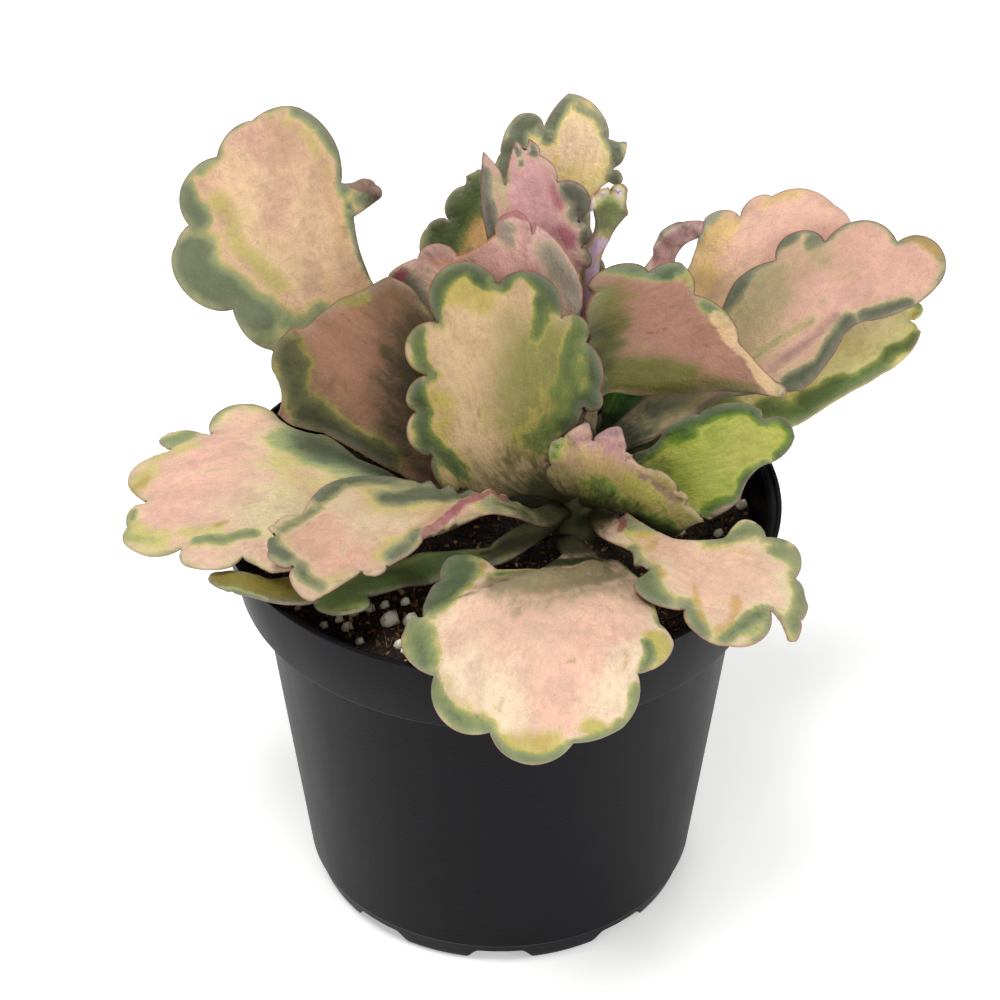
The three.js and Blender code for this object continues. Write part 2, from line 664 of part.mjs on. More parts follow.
function soilGeometry() {
  const random = randomStream(soil.seed);
  const clods = [];
  for (let i = 0; i < soil.clods; i += 1) {
    const angle = random(0, 2 * Math.PI);
    const reach = pot.rimRadius * Math.sqrt(random(0, 1));
    clods.push({
      x: reach * Math.cos(angle),
      y: reach * Math.sin(angle),
      radius: random(...soil.clodRadius),
      height: random(...soil.clodHeight),
    });
  }
  const heightAt = (x, y) => {
    let rise = 0;
    for (const clod of clods) {
      const d = Math.hypot(x - clod.x, y - clod.y) / clod.radius;
      if (d < 1) rise = Math.max(rise, clod.height * (1 - d * d));
    }
    return rise;
  };

  const bottom = pot.floor + gap;
  const ledge = pot.collarBottom + pot.wall + gap;
  const edge = soil.level - soil.edgeDrop;
  const edgeRadius = innerRadius(edge) - gap;
  const profile = [
    [0, bottom],
    [innerRadius(bottom) - gap, bottom],
    [innerRadius(ledge - 2 * gap) - gap, ledge],
    [innerRadius(ledge) - gap, ledge],
  ];
  for (let i = 0; i <= soil.rings; i += 1) {
    const z = lerp(edge, soil.level, Math.min(1, i / soil.edgeRings));
    profile.push([edgeRadius * (1 - i / soil.rings), z]);
  }
  const body = turned(profile, soil.sectors);
  const position = body.attributes.position;
  for (let i = 0; i < position.count; i += 1) {
    const [x, y, z] = [position.getX(i), position.getY(i), position.getZ(i)];
    if (z > edge + sliver) position.setZ(i, z + heightAt(x, y));
  }

  const ground = new THREE.Mesh(body, new THREE.MeshBasicMaterial({ side: THREE.DoubleSide }));
  const groundAt = (x, y) => {
    const drop = new THREE.Raycaster(new THREE.Vector3(x, y, pot.height), up.clone().negate());
    return drop.intersectObject(ground)[0].point.z;
  };

  let solid = solidOf(body);
  const grains = [...shownPerlite];
  while (grains.length < shownPerlite.length + soil.grains) {
    const angle = random(0, 2 * Math.PI);
    const reach = random(0, edgeRadius - soil.grainInset);
    const [x, y] = [reach * Math.cos(angle), reach * Math.sin(angle)];
    const clear = stems.every(({ foot }) => Math.hypot(x - foot[0], y - foot[1]) > soil.grainClear);
    if (clear) grains.push([x, y, random(...soil.grainSize)]);
  }
  for (const [x, y, size] of grains) {
    const grain = new THREE.IcosahedronGeometry(size / 2, 0);
    grain.scale(1, random(...soil.grainFlatness), random(...soil.grainFlatness));
    grain.rotateX(random(0, Math.PI)).rotateY(random(0, Math.PI));
    grain.translate(x, y, groundAt(x, y) + size * soil.grainLift);
    solid = solid.add(solidOf(grain));
  }
  for (const stem of stems) {
    const z = soil.level - soil.holeDepth;
    const hole = { ...stem, foot: [stem.foot[0], stem.foot[1], z] };
    solid = solid.subtract(solidOf(stemGeometry(hole, gap)));
  }
  return geometryOf(solid);
}

// Points of a circular arc from `a` through `via` to `b`, without `a`
function arcPoints(a, via, b) {
  const reach = a.distanceTo(via) + via.distanceTo(b);
  const steps = Math.max(2, Math.ceil(reach / scallopStep));
  const twist = 2 * (a.x * (via.y - b.y) + via.x * (b.y - a.y) + b.x * (a.y - via.y));
  const straight = Math.abs(twist) < straightness * Math.max(a.distanceTo(b), 1) ** 2;
  const centre = new THREE.Vector2(
    (a.lengthSq() * (via.y - b.y) + via.lengthSq() * (b.y - a.y) + b.lengthSq() * (a.y - via.y)) / twist,
    (a.lengthSq() * (b.x - via.x) + via.lengthSq() * (a.x - b.x) + b.lengthSq() * (via.x - a.x)) / twist,
  );
  const bearing = (p) => Math.atan2(p.y - centre.y, p.x - centre.x);
  const positive = (angle) => (angle + 4 * Math.PI) % (2 * Math.PI);
  const ahead = positive(bearing(b) - bearing(a));
  const sweep = positive(bearing(via) - bearing(a)) <= ahead ? ahead : ahead - 2 * Math.PI;
  const points = [];
  for (let i = 1; i <= steps; i += 1) {
    const t = i / steps;
    if (straight) {
      points.push(a.clone().lerp(b, t));
    } else {
      points.push(a.clone().rotateAround(centre, sweep * t));
    }
  }
  return points;
}

// The leaf's outline, laid flat: x is along the midrib and y is out to the right
function outlineOf({ left, right, length }) {
  const tip = [length, 0];
  const side = (margin) => {
    const corners = [...margin, tip].map((p) => new THREE.Vector2(...p));
    const points = [corners[0]];
    for (let i = 0; i + 2 < corners.length; i += 2) {
      points.push(...arcPoints(corners[i], corners[i + 1], corners[i + 2]));
    }
    return points;
  };
  const round = [...side(right), ...side(left).slice(0, -1).reverse()];
  const outline = [round[0]];
  for (const point of round.slice(1)) {
    if (point.distanceTo(outline.at(-1)) > closestPoints) outline.push(point);
  }
  return outline;
}

// Fills an outline with triangles, and halves the longest edges until none is over `longestEdge`
function fillOutline(outline) {
  const points = [...outline];
  const area = (t) => {
    const [a, b, c] = t.map((i) => points[i]);
    return (b.x - a.x) * (c.y - a.y) - (c.x - a.x) * (b.y - a.y);
  };
  let triangles = THREE.ShapeUtils.triangulateShape(outline, []);
  triangles = triangles.map((t) => (area(t) < 0 ? [t[0], t[2], t[1]] : t));
  for (;;) {
    let longest = longestEdge;
    let edge = null;
    for (const t of triangles) {
      for (let i = 0; i < 3; i += 1) {
        const [a, b] = [t[i], t[(i + 1) % 3]];
        const length = points[a].distanceTo(points[b]);
        if (length > longest) {
          longest = length;
          edge = [a, b];
        }
      }
    }
    if (!edge) return { points, triangles };
    const middle = points.length;
    points.push(points[edge[0]].clone().lerp(points[edge[1]], 0.5));
    triangles = triangles.flatMap((t) => {
      const i = t.findIndex((v, k) => edge.includes(v) && edge.includes(t[(k + 1) % 3]));
      if (i < 0) return [t];
      const [a, b, c] = [t[i], t[(i + 1) % 3], t[(i + 2) % 3]];
      return [[a, middle, c], [middle, b, c]];
    });
  }
}

// The edges that belong to one triangle only, each in its triangle's direction
function borderOf(triangles) {
  const edges = new Map();
  for (const t of triangles) {
    for (let i = 0; i < 3; i += 1) {
      const [a, b] = [t[i], t[(i + 1) % 3]];
      if (!edges.delete(`${b},${a}`)) edges.set(`${a},${b}`, [a, b]);
    }
  }
  return [...edges.values()];
}

// A value from a list spread evenly over 0 to 1
function along(list, t) {
  const at = clamp(t, 0, 1) * (list.length - 1);
  const i = Math.min(Math.floor(at), list.length - 2);
  return lerp(list[i], list[i + 1], at - i);
}

// The leaf's middle surface: a function from the flat outline to a point in space
function surfaceOf({ spine, across, riseLeft, riseRight }) {
  const curve = new THREE.CatmullRomCurve3(spine.map((p) => new THREE.Vector3(...p)), false, "catmullrom");
  curve.arcLengthDivisions = curveDivisions;
  const length = curve.getLength();
  const directions = across.length > 1 ? across : [across[0], across[0]];
  return (s, w) => {
    const t = clamp(s / length, 0, 1);
    const tangent = curve.getTangentAt(t);
    const out = new THREE.Vector3(...[0, 1, 2].map((axis) => along(directions.map((d) => d[axis]), t)));
    out.addScaledVector(tangent, -out.dot(tangent)).normalize();
    const normal = out.clone().cross(tangent);
    const rise = degToRad(along(w < 0 ? riseLeft : riseRight, t));
    const step = Math.abs(w) / foldSteps;
    let reach = 0;
    let lift = 0;
    for (let i = 0.5; i < foldSteps; i += 1) {
      const tilt = (rise * i * step) / (i * step + foldLength);
      reach += Math.cos(tilt) * step;
      lift += Math.sin(tilt) * step;
    }
    return curve.getPointAt(t)
      .addScaledVector(tangent, s - t * length)
      .addScaledVector(out, Math.sign(w) * reach)
      .addScaledVector(normal, lift);
  };
}

// A leaf: the filled outline on both faces alike, joined by a wall round the margin
function leafGeometry(leaf) {
  const surface = surfaceOf(leaf);
  const { points, triangles } = fillOutline(outlineOf(leaf));
  const border = borderOf(triangles);
  const line = new THREE.Line3();
  const nearest = new THREE.Vector3();
  const fromMargin = (p) => {
    const here = new THREE.Vector3(p.x, p.y, 0);
    return Math.min(...border.map(([a, b]) => {
      line.start.set(points[a].x, points[a].y, 0);
      line.end.set(points[b].x, points[b].y, 0);
      return line.closestPointToPoint(here, true, nearest).distanceTo(here);
    }));
  };
  const top = [];
  const bottom = [];
  for (const p of points) {
    const outwards = surface(p.x, p.y + normalStep).sub(surface(p.x, p.y - normalStep));
    const forwards = surface(p.x + normalStep, p.y).sub(surface(p.x - normalStep, p.y));
    const normal = outwards.cross(forwards).normalize();
    const body = THREE.MathUtils.smoothstep(p.x, 0, stalkShare * leaf.length);
    const thickness = lerp(stalkThickness, bladeThickness, body);
    const inner = Math.max(clamp(fromMargin(p) / marginWidth, 0, 1), clamp(1 - p.x / stalkLength, 0, 1));
    const half = lerp(marginThickness, thickness, inner) / 2;
    const middle = surface(p.x, p.y);
    top.push(middle.clone().addScaledVector(normal, half));
    bottom.push(middle.clone().addScaledVector(normal, -half));
  }
  const n = points.length;
  const faces = [];
  for (const [a, b, c] of triangles) faces.push([a, c, b], [a + n, b + n, c + n]);
  for (const [a, b] of border) faces.push([a, b, b + n], [a, b + n, a + n]);
  return closedGeometry([...top, ...bottom].flatMap((v) => v.toArray()), faces.flat());
}

const plant = new THREE.Group();
plant.name = "potted_kalanchoe";
plant.add(meshOf("pot", potGeometry(), { color: "#2f2f33", roughness: 0.45, metalness: 0 }));
plant.add(meshOf("soil", soilGeometry(), { color: "#35241a", roughness: 1, metalness: 0 }));
for (const stem of stems) {
  plant.add(meshOf(stem.name, stemGeometry(stem), { color: "#8a8f5c", roughness: 0.7, metalness: 0 }));
}
for (const leaf of leaves) {
  plant.add(meshOf(leaf.name, leafGeometry(leaf), { color: leaf.colour, roughness: 0.55, metalness: 0 }));
}

export default plant;
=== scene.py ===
# A stained glass kalanchoe in a black nursery pot: pot, potting mix, stems and leaves,
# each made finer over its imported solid.

import math

import bmesh
import bpy
import numpy as np
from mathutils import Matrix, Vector, noise
from mathutils.geometry import delaunay_2d_cdt


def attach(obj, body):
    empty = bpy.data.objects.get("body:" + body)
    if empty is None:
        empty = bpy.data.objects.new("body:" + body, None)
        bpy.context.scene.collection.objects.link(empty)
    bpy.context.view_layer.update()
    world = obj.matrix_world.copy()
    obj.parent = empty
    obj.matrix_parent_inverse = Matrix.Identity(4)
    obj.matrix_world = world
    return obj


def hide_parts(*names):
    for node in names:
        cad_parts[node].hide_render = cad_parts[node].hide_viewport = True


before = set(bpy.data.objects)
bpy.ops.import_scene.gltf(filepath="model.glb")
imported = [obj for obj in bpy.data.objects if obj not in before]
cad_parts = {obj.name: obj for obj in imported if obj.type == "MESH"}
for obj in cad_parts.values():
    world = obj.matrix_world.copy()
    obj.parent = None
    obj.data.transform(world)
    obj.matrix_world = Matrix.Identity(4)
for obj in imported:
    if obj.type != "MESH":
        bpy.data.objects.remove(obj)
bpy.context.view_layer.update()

mm = 0.001
bpy.context.scene.view_settings.view_transform = "Standard"  # white stays white, as in a catalogue picture


def linear(hexColour):  # an sRGB hex colour as the linear one that a node takes
    channels = [int(hexColour[i : i + 2], 16) / 255 for i in (1, 3, 5)]
    return (*[c / 12.92 if c <= 0.04045 else ((c + 0.055) / 1.055) ** 2.4 for c in channels], 1.0)


def addNode(tree, kind, inputs=None, output=0, **settings):  # adds a node and gives back one of its outputs
    node = tree.nodes.new(kind)
    for name, value in settings.items():
        setattr(node, name, value)
    for key, value in (inputs or {}).items():
        if isinstance(value, bpy.types.NodeSocket):
            tree.links.new(value, node.inputs[key])
        else:
            node.inputs[key].default_value = value
    return node.outputs[output] if node.outputs else node


def newMaterial(name):
    material = bpy.data.materials.new(name)
    material.use_nodes = True
    material.node_tree.nodes.clear()
    return material, material.node_tree


# a Map Range takes 1 and 2 as the range that it reads, and 3 and 4 as the range that it gives
def lay(tree, under, over, field, low, high, most=1.0):  # one colour over another where a field is high
    limits = {"Value": field, 1: low, 2: high, 4: most}
    cover = addNode(tree, "ShaderNodeMapRange", limits, interpolation_type="SMOOTHSTEP")
    return addNode(tree, "ShaderNodeMix", {0: cover, 6: under, 7: over}, 2, data_type="RGBA")


def finishShader(tree, settings):
    shader = addNode(tree, "ShaderNodeBsdfPrincipled", settings)
    addNode(tree, "ShaderNodeOutputMaterial", {"Surface": shader})


def addObject(name, data):
    thing = bpy.data.objects.new(name, data)
    bpy.context.scene.collection.objects.link(thing)
    return thing


def shadeSmooth(mesh):
    mesh.polygons.foreach_set("use_smooth", [True] * len(mesh.polygons))


def meshOf(name, points, faces):
    mesh = bpy.data.meshes.new(name)
    mesh.from_pydata([tuple(p) for p in points], [], faces)
    return mesh


def newPiece(name, points, faces, material):
    mesh = meshOf(name, points, faces)
    mesh.validate()
    shadeSmooth(mesh)
    mesh.materials.append(material)
    return addObject(name, mesh)


def circle(radius, sides):
    turns = [2 * math.pi * i / sides for i in range(sides)]
    return [(radius * math.cos(turn), radius * math.sin(turn)) for turn in turns]


def latheMesh(profile, sectors):  # profile of (radius, height) from axis to axis, in mm
    points = []
    faces = []
    rings = []
    for radius, height in profile:
        if radius < 1e-6:
            rings.append([len(points)] * sectors)
            points.append((0, 0, height * mm))
        else:
            rings.append([len(points) + i for i in range(sectors)])
            points += [(x, y, height * mm) for x, y in circle(radius * mm, sectors)]
    for low, high in zip(rings, rings[1:]):
        for i in range(sectors):
            j = (i + 1) % sectors
            corners = [low[i], low[j], high[j], high[i]]
            face = [c for k, c in enumerate(corners) if c != corners[k - 1]]
            if len(face) > 2:
                faces.append(face)
    return points, faces


def settle(piece):  # turns a piece with live modifiers into a plain mesh
    graph = bpy.context.evaluated_depsgraph_get()
    mesh = bpy.data.meshes.new_from_object(piece.evaluated_get(graph))
    piece.modifiers.clear()
    piece.data = mesh
    return piece


def copyTree(name, sockets):  # a new geometry tree with named inputs, and what these give
    tree = bpy.data.node_groups.new(name, "GeometryNodeTree")
    for label, kind in (("Geometry", "Geometry"), *sockets, ("Material", "Material")):
        tree.interface.new_socket(label, in_out="INPUT", socket_type="NodeSocket" + kind)
    tree.interface.new_socket("Geometry", in_out="OUTPUT", socket_type="NodeSocketGeometry")
    return tree, tree.nodes.new("NodeGroupInput").outputs


def endWithCopies(tree, given, settings):  # a copy on every point, made real and coated
    copies = addNode(tree, "GeometryNodeInstanceOnPoints", settings)
    real = addNode(tree, "GeometryNodeRealizeInstances", {"Geometry": copies})
    coated = addNode(tree, "GeometryNodeSetMaterial", {"Geometry": real, "Material": given["Material"]})
    addNode(tree, "NodeGroupOutput", {"Geometry": coated})


def runTree(name, mesh, tree, values):  # the plain mesh that a geometry tree makes of a mesh
    piece = addObject(name, mesh)
    modifier = piece.modifiers.new("copies", "NODES")
    modifier.node_group = tree
    for item in tree.interface.items_tree:
        if item.in_out == "INPUT" and item.name in values:
            modifier[item.identifier] = values[item.name]
    return settle(piece)


# camera, floor and light
stageSettings = {
    "cameraDistance": 800,  # mm
    "cameraElevation": 36.58,  # degrees
    "cameraAim": 86,  # mm above the floor
    "farthest": 20,  # m that the camera sees
    "lens": 150.3,
    "sensor": 36,
    "floorSize": 6000,  # mm
    "floorColour": "#fbfbfa",
    "floorGlow": 0.35,
    "worldColour": "#ffffff",
    "worldStrength": 0.2,
}

lamps = [  # name, place, aim, size, power; mm and watts
    ("keyLight", (-450, -650, 2300), (0, 0, 80), 900, 40),
    ("frontLight", (-600, -1700, 900), (0, 0, 80), 1000, 9),
    ("fillLight", (1500, -700, 700), (0, 0, 80), 1000, 13),
    ("backLight", (0, 1400, 1500), (0, 0, 80), 1200, 10),
]


def aimAt(thing, place, target):
    thing.location = Vector(place) * mm
    thing.rotation_euler = (Vector(target) - Vector(place)).to_track_quat("-Z", "Y").to_euler()


def makeStage():
    s = stageSettings
    scene = bpy.context.scene
    tilt = math.radians(s["cameraElevation"])
    camera = bpy.data.cameras.new("camera")
    camera.lens = s["lens"]
    camera.sensor_width = s["sensor"]
    camera.clip_end = s["farthest"]
    cameraObject = addObject("camera", camera)
    reach = s["cameraDistance"]
    place = (0, -reach * math.cos(tilt), s["cameraAim"] + reach * math.sin(tilt))
    aimAt(cameraObject, place, (0, 0, s["cameraAim"]))
    scene.camera = cameraObject

    material, tree = newMaterial("paintedBoard")  # matt white studio board
    finishShader(tree, {
        "Base Color": linear(s["floorColour"]),
        "Roughness": 0.9,
        "Specular IOR Level": 0.1,
        "Emission Color": linear(s["floorColour"]),
        "Emission Strength": s["floorGlow"],  # the board is lit from below, so shadows on it stay faint
    })
    half = s["floorSize"] * mm / 2
    corners = [(-half, -half, 0), (half, -half, 0), (half, half, 0), (-half, half, 0)]
    floor = newPiece("studioFloor", corners, [(0, 1, 2, 3)], material)

    for name, at, target, size, power in lamps:
        lamp = bpy.data.lights.new(name, "AREA")
        lamp.size = size * mm
        lamp.energy = power
        aimAt(addObject(name, lamp), at, target)

    world = bpy.data.worlds.new("studio")
    world.use_nodes = True
    world.node_tree.nodes.clear()
    light = {"Color": linear(s["worldColour"]), "Strength": s["worldStrength"]}
    sky = addNode(world.node_tree, "ShaderNodeBackground", light)
    addNode(world.node_tree, "ShaderNodeOutputWorld", {"Surface": sky})
    scene.world = world
    print("stage: camera, floor and lamps")


# the pot, injection-moulded, in mm
potShape = {
    "height": 86.6,
    "rimRadius": 54,
    "lipWidth": 1.9,
    "wall": 1.25,
    "collarBottom": 70.5,
    "collarBottomRadius": 50.5,
    "wallTopRadius": 46.5,
    "wallBottom": 5.2,
    "wallBottomRadius": 38.2,
    "baseRadius": 37.9,
    "footRadius": 35.6,
    "floor": 4.8,
    "footChamfer": 1,
    "lipStep": 0.8,  # from the rim down to the ledge inside the lip
    "throat": 1.5,  # from the rim down to the inner wall
    "sectors": 216,
    "cornerSteps": 4,
    "sharpAngle": 40,  # degrees
    "notches": 9,
    "notchHeight": 3.4,
    "notchWidth": 13,
    "notchTopWidth": 9.4,
    "notchInnerRadius": 25,
    "holeRadius": 3.5,
    "holeCircle": 29,
    "holeSides": 24,
    "plastic": "#09090c",
    "flowMarks": "#0f0e13",
    "dust": "#2b292b",
}


def wallRadius(z):  # inner radius of the wall or the collar
    p = potShape
    if z > p["collarBottom"] + p["wall"]:
        t = (z - p["collarBottom"]) / (p["height"] - p["collarBottom"])
        low = p["collarBottomRadius"] - p["wall"]
        return low + t * (p["rimRadius"] - p["lipWidth"] - p["wall"] / 2 - low)
    t = (z - p["wallBottom"]) / (p["collarBottom"] - p["wallBottom"])
    return p["wallBottomRadius"] + t * (p["wallTopRadius"] - p["wallBottomRadius"]) - p["wall"]


def roundCorner(before, corner, after, radius):  # points of a rounded corner of a profile
    b, c, a = Vector(before), Vector(corner), Vector(after)
    most = 0.45  # of either side, so that two corners never meet
    start = c + (b - c).normalized() * min(radius, (b - c).length * most)
    end = c + (a - c).normalized() * min(radius, (a - c).length * most)
    shares = [i / potShape["cornerSteps"] for i in range(potShape["cornerSteps"] + 1)]
    return [tuple((1 - t) ** 2 * start + 2 * t * (1 - t) * c + t * t * end) for t in shares]


def pottedPlastic():  # satin black polypropylene, fine moulded grain and faint flow marks: soft grey glints
    p = potShape
    material, tree = newMaterial("blackPolypropylene")
    where = addNode(tree, "ShaderNodeTexCoord", output="Object")
    flow = addNode(tree, "ShaderNodeMapping", {"Vector": where, "Scale": (1, 1, 0.25)})
    cloud = addNode(tree, "ShaderNodeTexNoise", {"Vector": flow, "Scale": 1 / (14 * mm), "Detail": 4})
    speck = addNode(tree, "ShaderNodeTexNoise", {"Vector": where, "Scale": 1 / (0.45 * mm), "Detail": 2})
    settled = {"Vector": where, "Scale": 1 / (1.6 * mm), "Detail": 5, "Roughness": 0.7}
    dust = addNode(tree, "ShaderNodeTexNoise", settled)
    colour = lay(tree, linear(p["plastic"]), linear(p["flowMarks"]), cloud, 0.35, 0.7)
    colour = lay(tree, colour, linear(p["dust"]), dust, 0.62, 0.78, 0.2)
    rough = addNode(tree, "ShaderNodeMapRange", {"Value": cloud, 1: 0.3, 2: 0.7, 3: 0.4, 4: 0.5})
    fine = addNode(tree, "ShaderNodeBump", {"Height": speck, "Distance": 0.05 * mm})
    finishShader(tree, {"Base Color": colour, "Roughness": rough, "Specular IOR Level": 0.08, "Normal": fine})
    return material


def makePot():
    p = potShape
    ledge = p["collarBottom"] + p["wall"]
    lip = p["rimRadius"] - p["lipWidth"]
    step = p["height"] - p["lipStep"]
    throat = p["height"] - p["throat"]
    corners = [  # radius, height and how round the corner is
        (p["footRadius"], 0, 0.5),
        (p["footRadius"] + p["footChamfer"], p["footChamfer"], 1.2),
        (p["baseRadius"], p["wallBottom"] - 0.1, 0.4),
        (p["wallBottomRadius"], p["wallBottom"] + 0.25, 0.15),
        (p["wallTopRadius"], p["collarBottom"] - 0.1, 0.3),
        (p["collarBottomRadius"], p["collarBottom"], 0.7),
        (p["rimRadius"], p["height"], 0.45),
        (lip + 1.0, p["height"], 0.2),
        (lip + 0.85, step, 0.2),
        (lip, step, 0.25),
        (wallRadius(throat), throat, 0.2),
        (wallRadius(ledge + 0.1), ledge, 0.5),  # the collar's wall ends here, and the lower one begins
        (wallRadius(ledge), ledge, 0.5),
        (wallRadius(p["floor"]), p["floor"], 1.2),
    ]
    ends = [(0, 0), *[c[:2] for c in corners], (0, p["floor"])]
    profile = [ends[0]]
    for i, (_, _, radius) in enumerate(corners, 1):
        profile += roundCorner(ends[i - 1], ends[i], ends[i + 1], radius)
    profile.append(ends[-1])
    points, faces = latheMesh(profile, p["sectors"])
    plastic = pottedPlastic()
    pot = newPiece("nursery_pot", points, faces, plastic)

    cutter = notchCutter(plastic)
    cut = pot.modifiers.new("notches", "BOOLEAN")
    cut.operation = "DIFFERENCE"
    cut.solver = "EXACT"
    cut.use_self = True  # a notch and its drain hole overlap in the cutter
    cut.object = cutter
    settle(pot)
    bpy.data.objects.remove(cutter)
    shadeSmooth(pot.data)
    pot.data.set_sharp_from_angle(angle=math.radians(p["sharpAngle"]))
    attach(pot, "root")
    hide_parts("pot")
    print("pot:", len(pot.data.polygons), "faces")


def notchCutter(material):  # the notches between the feet and the drain holes, repeated round the base
    p = potShape
    clear = 1  # mm that the cutter stands out of the plastic
    reach = p["rimRadius"] - p["notchInnerRadius"]
    rows = [  # height and half width of the notch, its top corners cut off
        (-clear, p["notchWidth"] / 2 + clear),
        (p["notchHeight"] - 0.7, p["notchTopWidth"] / 2 + 0.5),
        (p["notchHeight"], p["notchTopWidth"] / 2 - 0.3),
    ]
    section = [(-w, z) for z, w in rows] + [(w, z) for z, w in reversed(rows)]
    depths = [p["notchInnerRadius"] + end * reach for end in (0, 1)]
    points = [(x * mm, -depth * mm, z * mm) for depth in depths for x, z in section]
    n = len(section)
    faces = [tuple(range(n)), tuple(range(2 * n - 1, n - 1, -1))]
    faces += [(i, i + n, (i + 1) % n + n, (i + 1) % n) for i in range(n)]
    sides = p["holeSides"]
    base = len(points)
    for z in (-clear, p["floor"] + clear):
        hole = circle(p["holeRadius"], sides)
        points += [(x * mm, (y - p["holeCircle"]) * mm, z * mm) for x, y in hole]
    low = list(range(base, base + sides))
    high = [i + sides for i in low]
    faces += [tuple(reversed(low)), tuple(high)]
    faces += [(low[i - 1], low[i], high[i], high[i - 1]) for i in range(sides)]
    mesh = meshOf("notch", points, faces)
    part = bmesh.new()
    part.from_mesh(mesh)
    bmesh.ops.recalc_face_normals(part, faces=part.faces)
    part.to_mesh(mesh)
    part.free()

    tree, given = copyTree("notchRing", [("Count", "Int")])
    ring = addNode(tree, "GeometryNodeMeshCircle", {"Vertices": given["Count"], "Radius": 0.0})
    place = addNode(tree, "GeometryNodeInputIndex")
    step = addNode(tree, "ShaderNodeMath", {0: 2 * math.pi, 1: given["Count"]}, operation="DIVIDE")
    angle = addNode(tree, "ShaderNodeMath", {0: place, 1: step}, operation="MULTIPLY")
    endWithCopies(tree, given, {
        "Points": ring,
        "Instance": given["Geometry"],
        "Rotation": addNode(tree, "ShaderNodeCombineXYZ", {"Z": angle}),
    })
    return runTree("notch", mesh, tree, {"Count": p["notches"], "Material": material})


# the potting mix, in mm
mixShape = {
    "level": 76.5,
    "edgeDrop": 1.2,
    "edgeShare": 0.125,  # of the radius, over which the edge drops
    "rings": 44,
    "sectors": 150,
    "gap": 0.3,  # to the pot
    "looseDepth": 3,  # under the level, down to where loose pieces lie
    "steepest": 0.4,  # least upward part of a face's normal on which they lie
    "clodHeight": 1.6,
    "clodSize": 9,
    "gritHeight": 0.35,
    "gritSize": 1.7,
    "colours": ("#120b07", "#45290f"),
}

loosePieces = {  # pieces per square metre, their sizes, the seed of their places, and their colours
    "peat_crumbs": {"density": 480000, "sizes": (0.35, 1.4), "seed": 11, "colours": ("#1c110a", "#9a6a3a")},
    "bark_chips": {"density": 110000, "sizes": (0.45, 1.7), "seed": 12, "colours": ("#5e3a1e", "#f2c183")},
    "coir_fibres": {"density": 85000, "sizes": (0.6, 1.6), "seed": 13, "colours": ("#6b4424", "#f0c080")},
    "perlite_grains": {"density": 7500, "sizes": (0.6, 2.0), "seed": 14, "colours": ("#fffae2", "#d9b878")},
}

shownPerlite = [  # x, y and diameter, in mm
    (-20.5, -26.3, 3.8), (-16.7, -25.4, 3.2), (-28.5, -28.7, 2.4), (-24.5, -21.4, 2.2),
    (-21.7, -20.2, 2), (-17.8, -20.5, 2), (-30.1, -26.3, 1.8), (-33, -27.5, 1.8),
    (-27.5, -23.6, 2), (-18.6, -33.8, 2.4), (-26.1, -33, 1.8), (47.3, 11.5, 2.4),
    (47.4, 4, 2.2), (42.3, 1.1, 2), (35, 2.1, 2), (-25.7, 26.4, 2.2),
]


def darkEarth(name, colours, size):  # moist peat and bark: matt, almost black, rusty where it is dry
    dark, light = colours
    material, tree = newMaterial(name)
    where = addNode(tree, "ShaderNodeTexCoord", output="Object")
    clods = {"Vector": where, "Scale": 1 / (size * mm), "Detail": 5, "Roughness": 0.65}
    lumps = addNode(tree, "ShaderNodeTexNoise", clods)
    pits = addNode(tree, "ShaderNodeTexNoise", {"Vector": where, "Scale": 3 / (size * mm), "Detail": 4})
    colour = lay(tree, linear(dark), linear(light), lumps, 0.46, 0.74)
    fine = addNode(tree, "ShaderNodeBump", {"Height": pits, "Distance": 0.25 * mm})
    finishShader(tree, {"Base Color": colour, "Roughness": 0.85, "Normal": fine})
    return material


def perliteGlass(colours):  # expanded volcanic glass: chalky white lumps, pitted, stained cream by the peat
    white, cream = colours
    material, tree = newMaterial("perlite")
    where = addNode(tree, "ShaderNodeTexCoord", output="Object")
    stain = addNode(tree, "ShaderNodeTexNoise", {"Vector": where, "Scale": 1 / (1.6 * mm), "Detail": 3})
    pits = addNode(tree, "ShaderNodeTexNoise", {"Vector": where, "Scale": 1 / (0.3 * mm), "Detail": 3})
    colour = lay(tree, linear(white), linear(cream), stain, 0.5, 0.72)
    fine = addNode(tree, "ShaderNodeBump", {"Height": pits, "Distance": 0.15 * mm})
    finishShader(tree, {"Base Color": colour, "Roughness": 0.8, "Normal": fine})
    return material


def mixHeight(x, y):  # how high the mix stands over its level, in mm
    m = mixShape
    place = Vector((x / m["clodSize"], y / m["clodSize"], 3.7))
    clods = noise.turbulence(place, 3, False, noise_basis="PERLIN_ORIGINAL")
    grit = noise.noise(Vector((x / m["gritSize"], y / m["gritSize"], 1.1)))
    return m["clodHeight"] * clods + m["gritHeight"] * grit


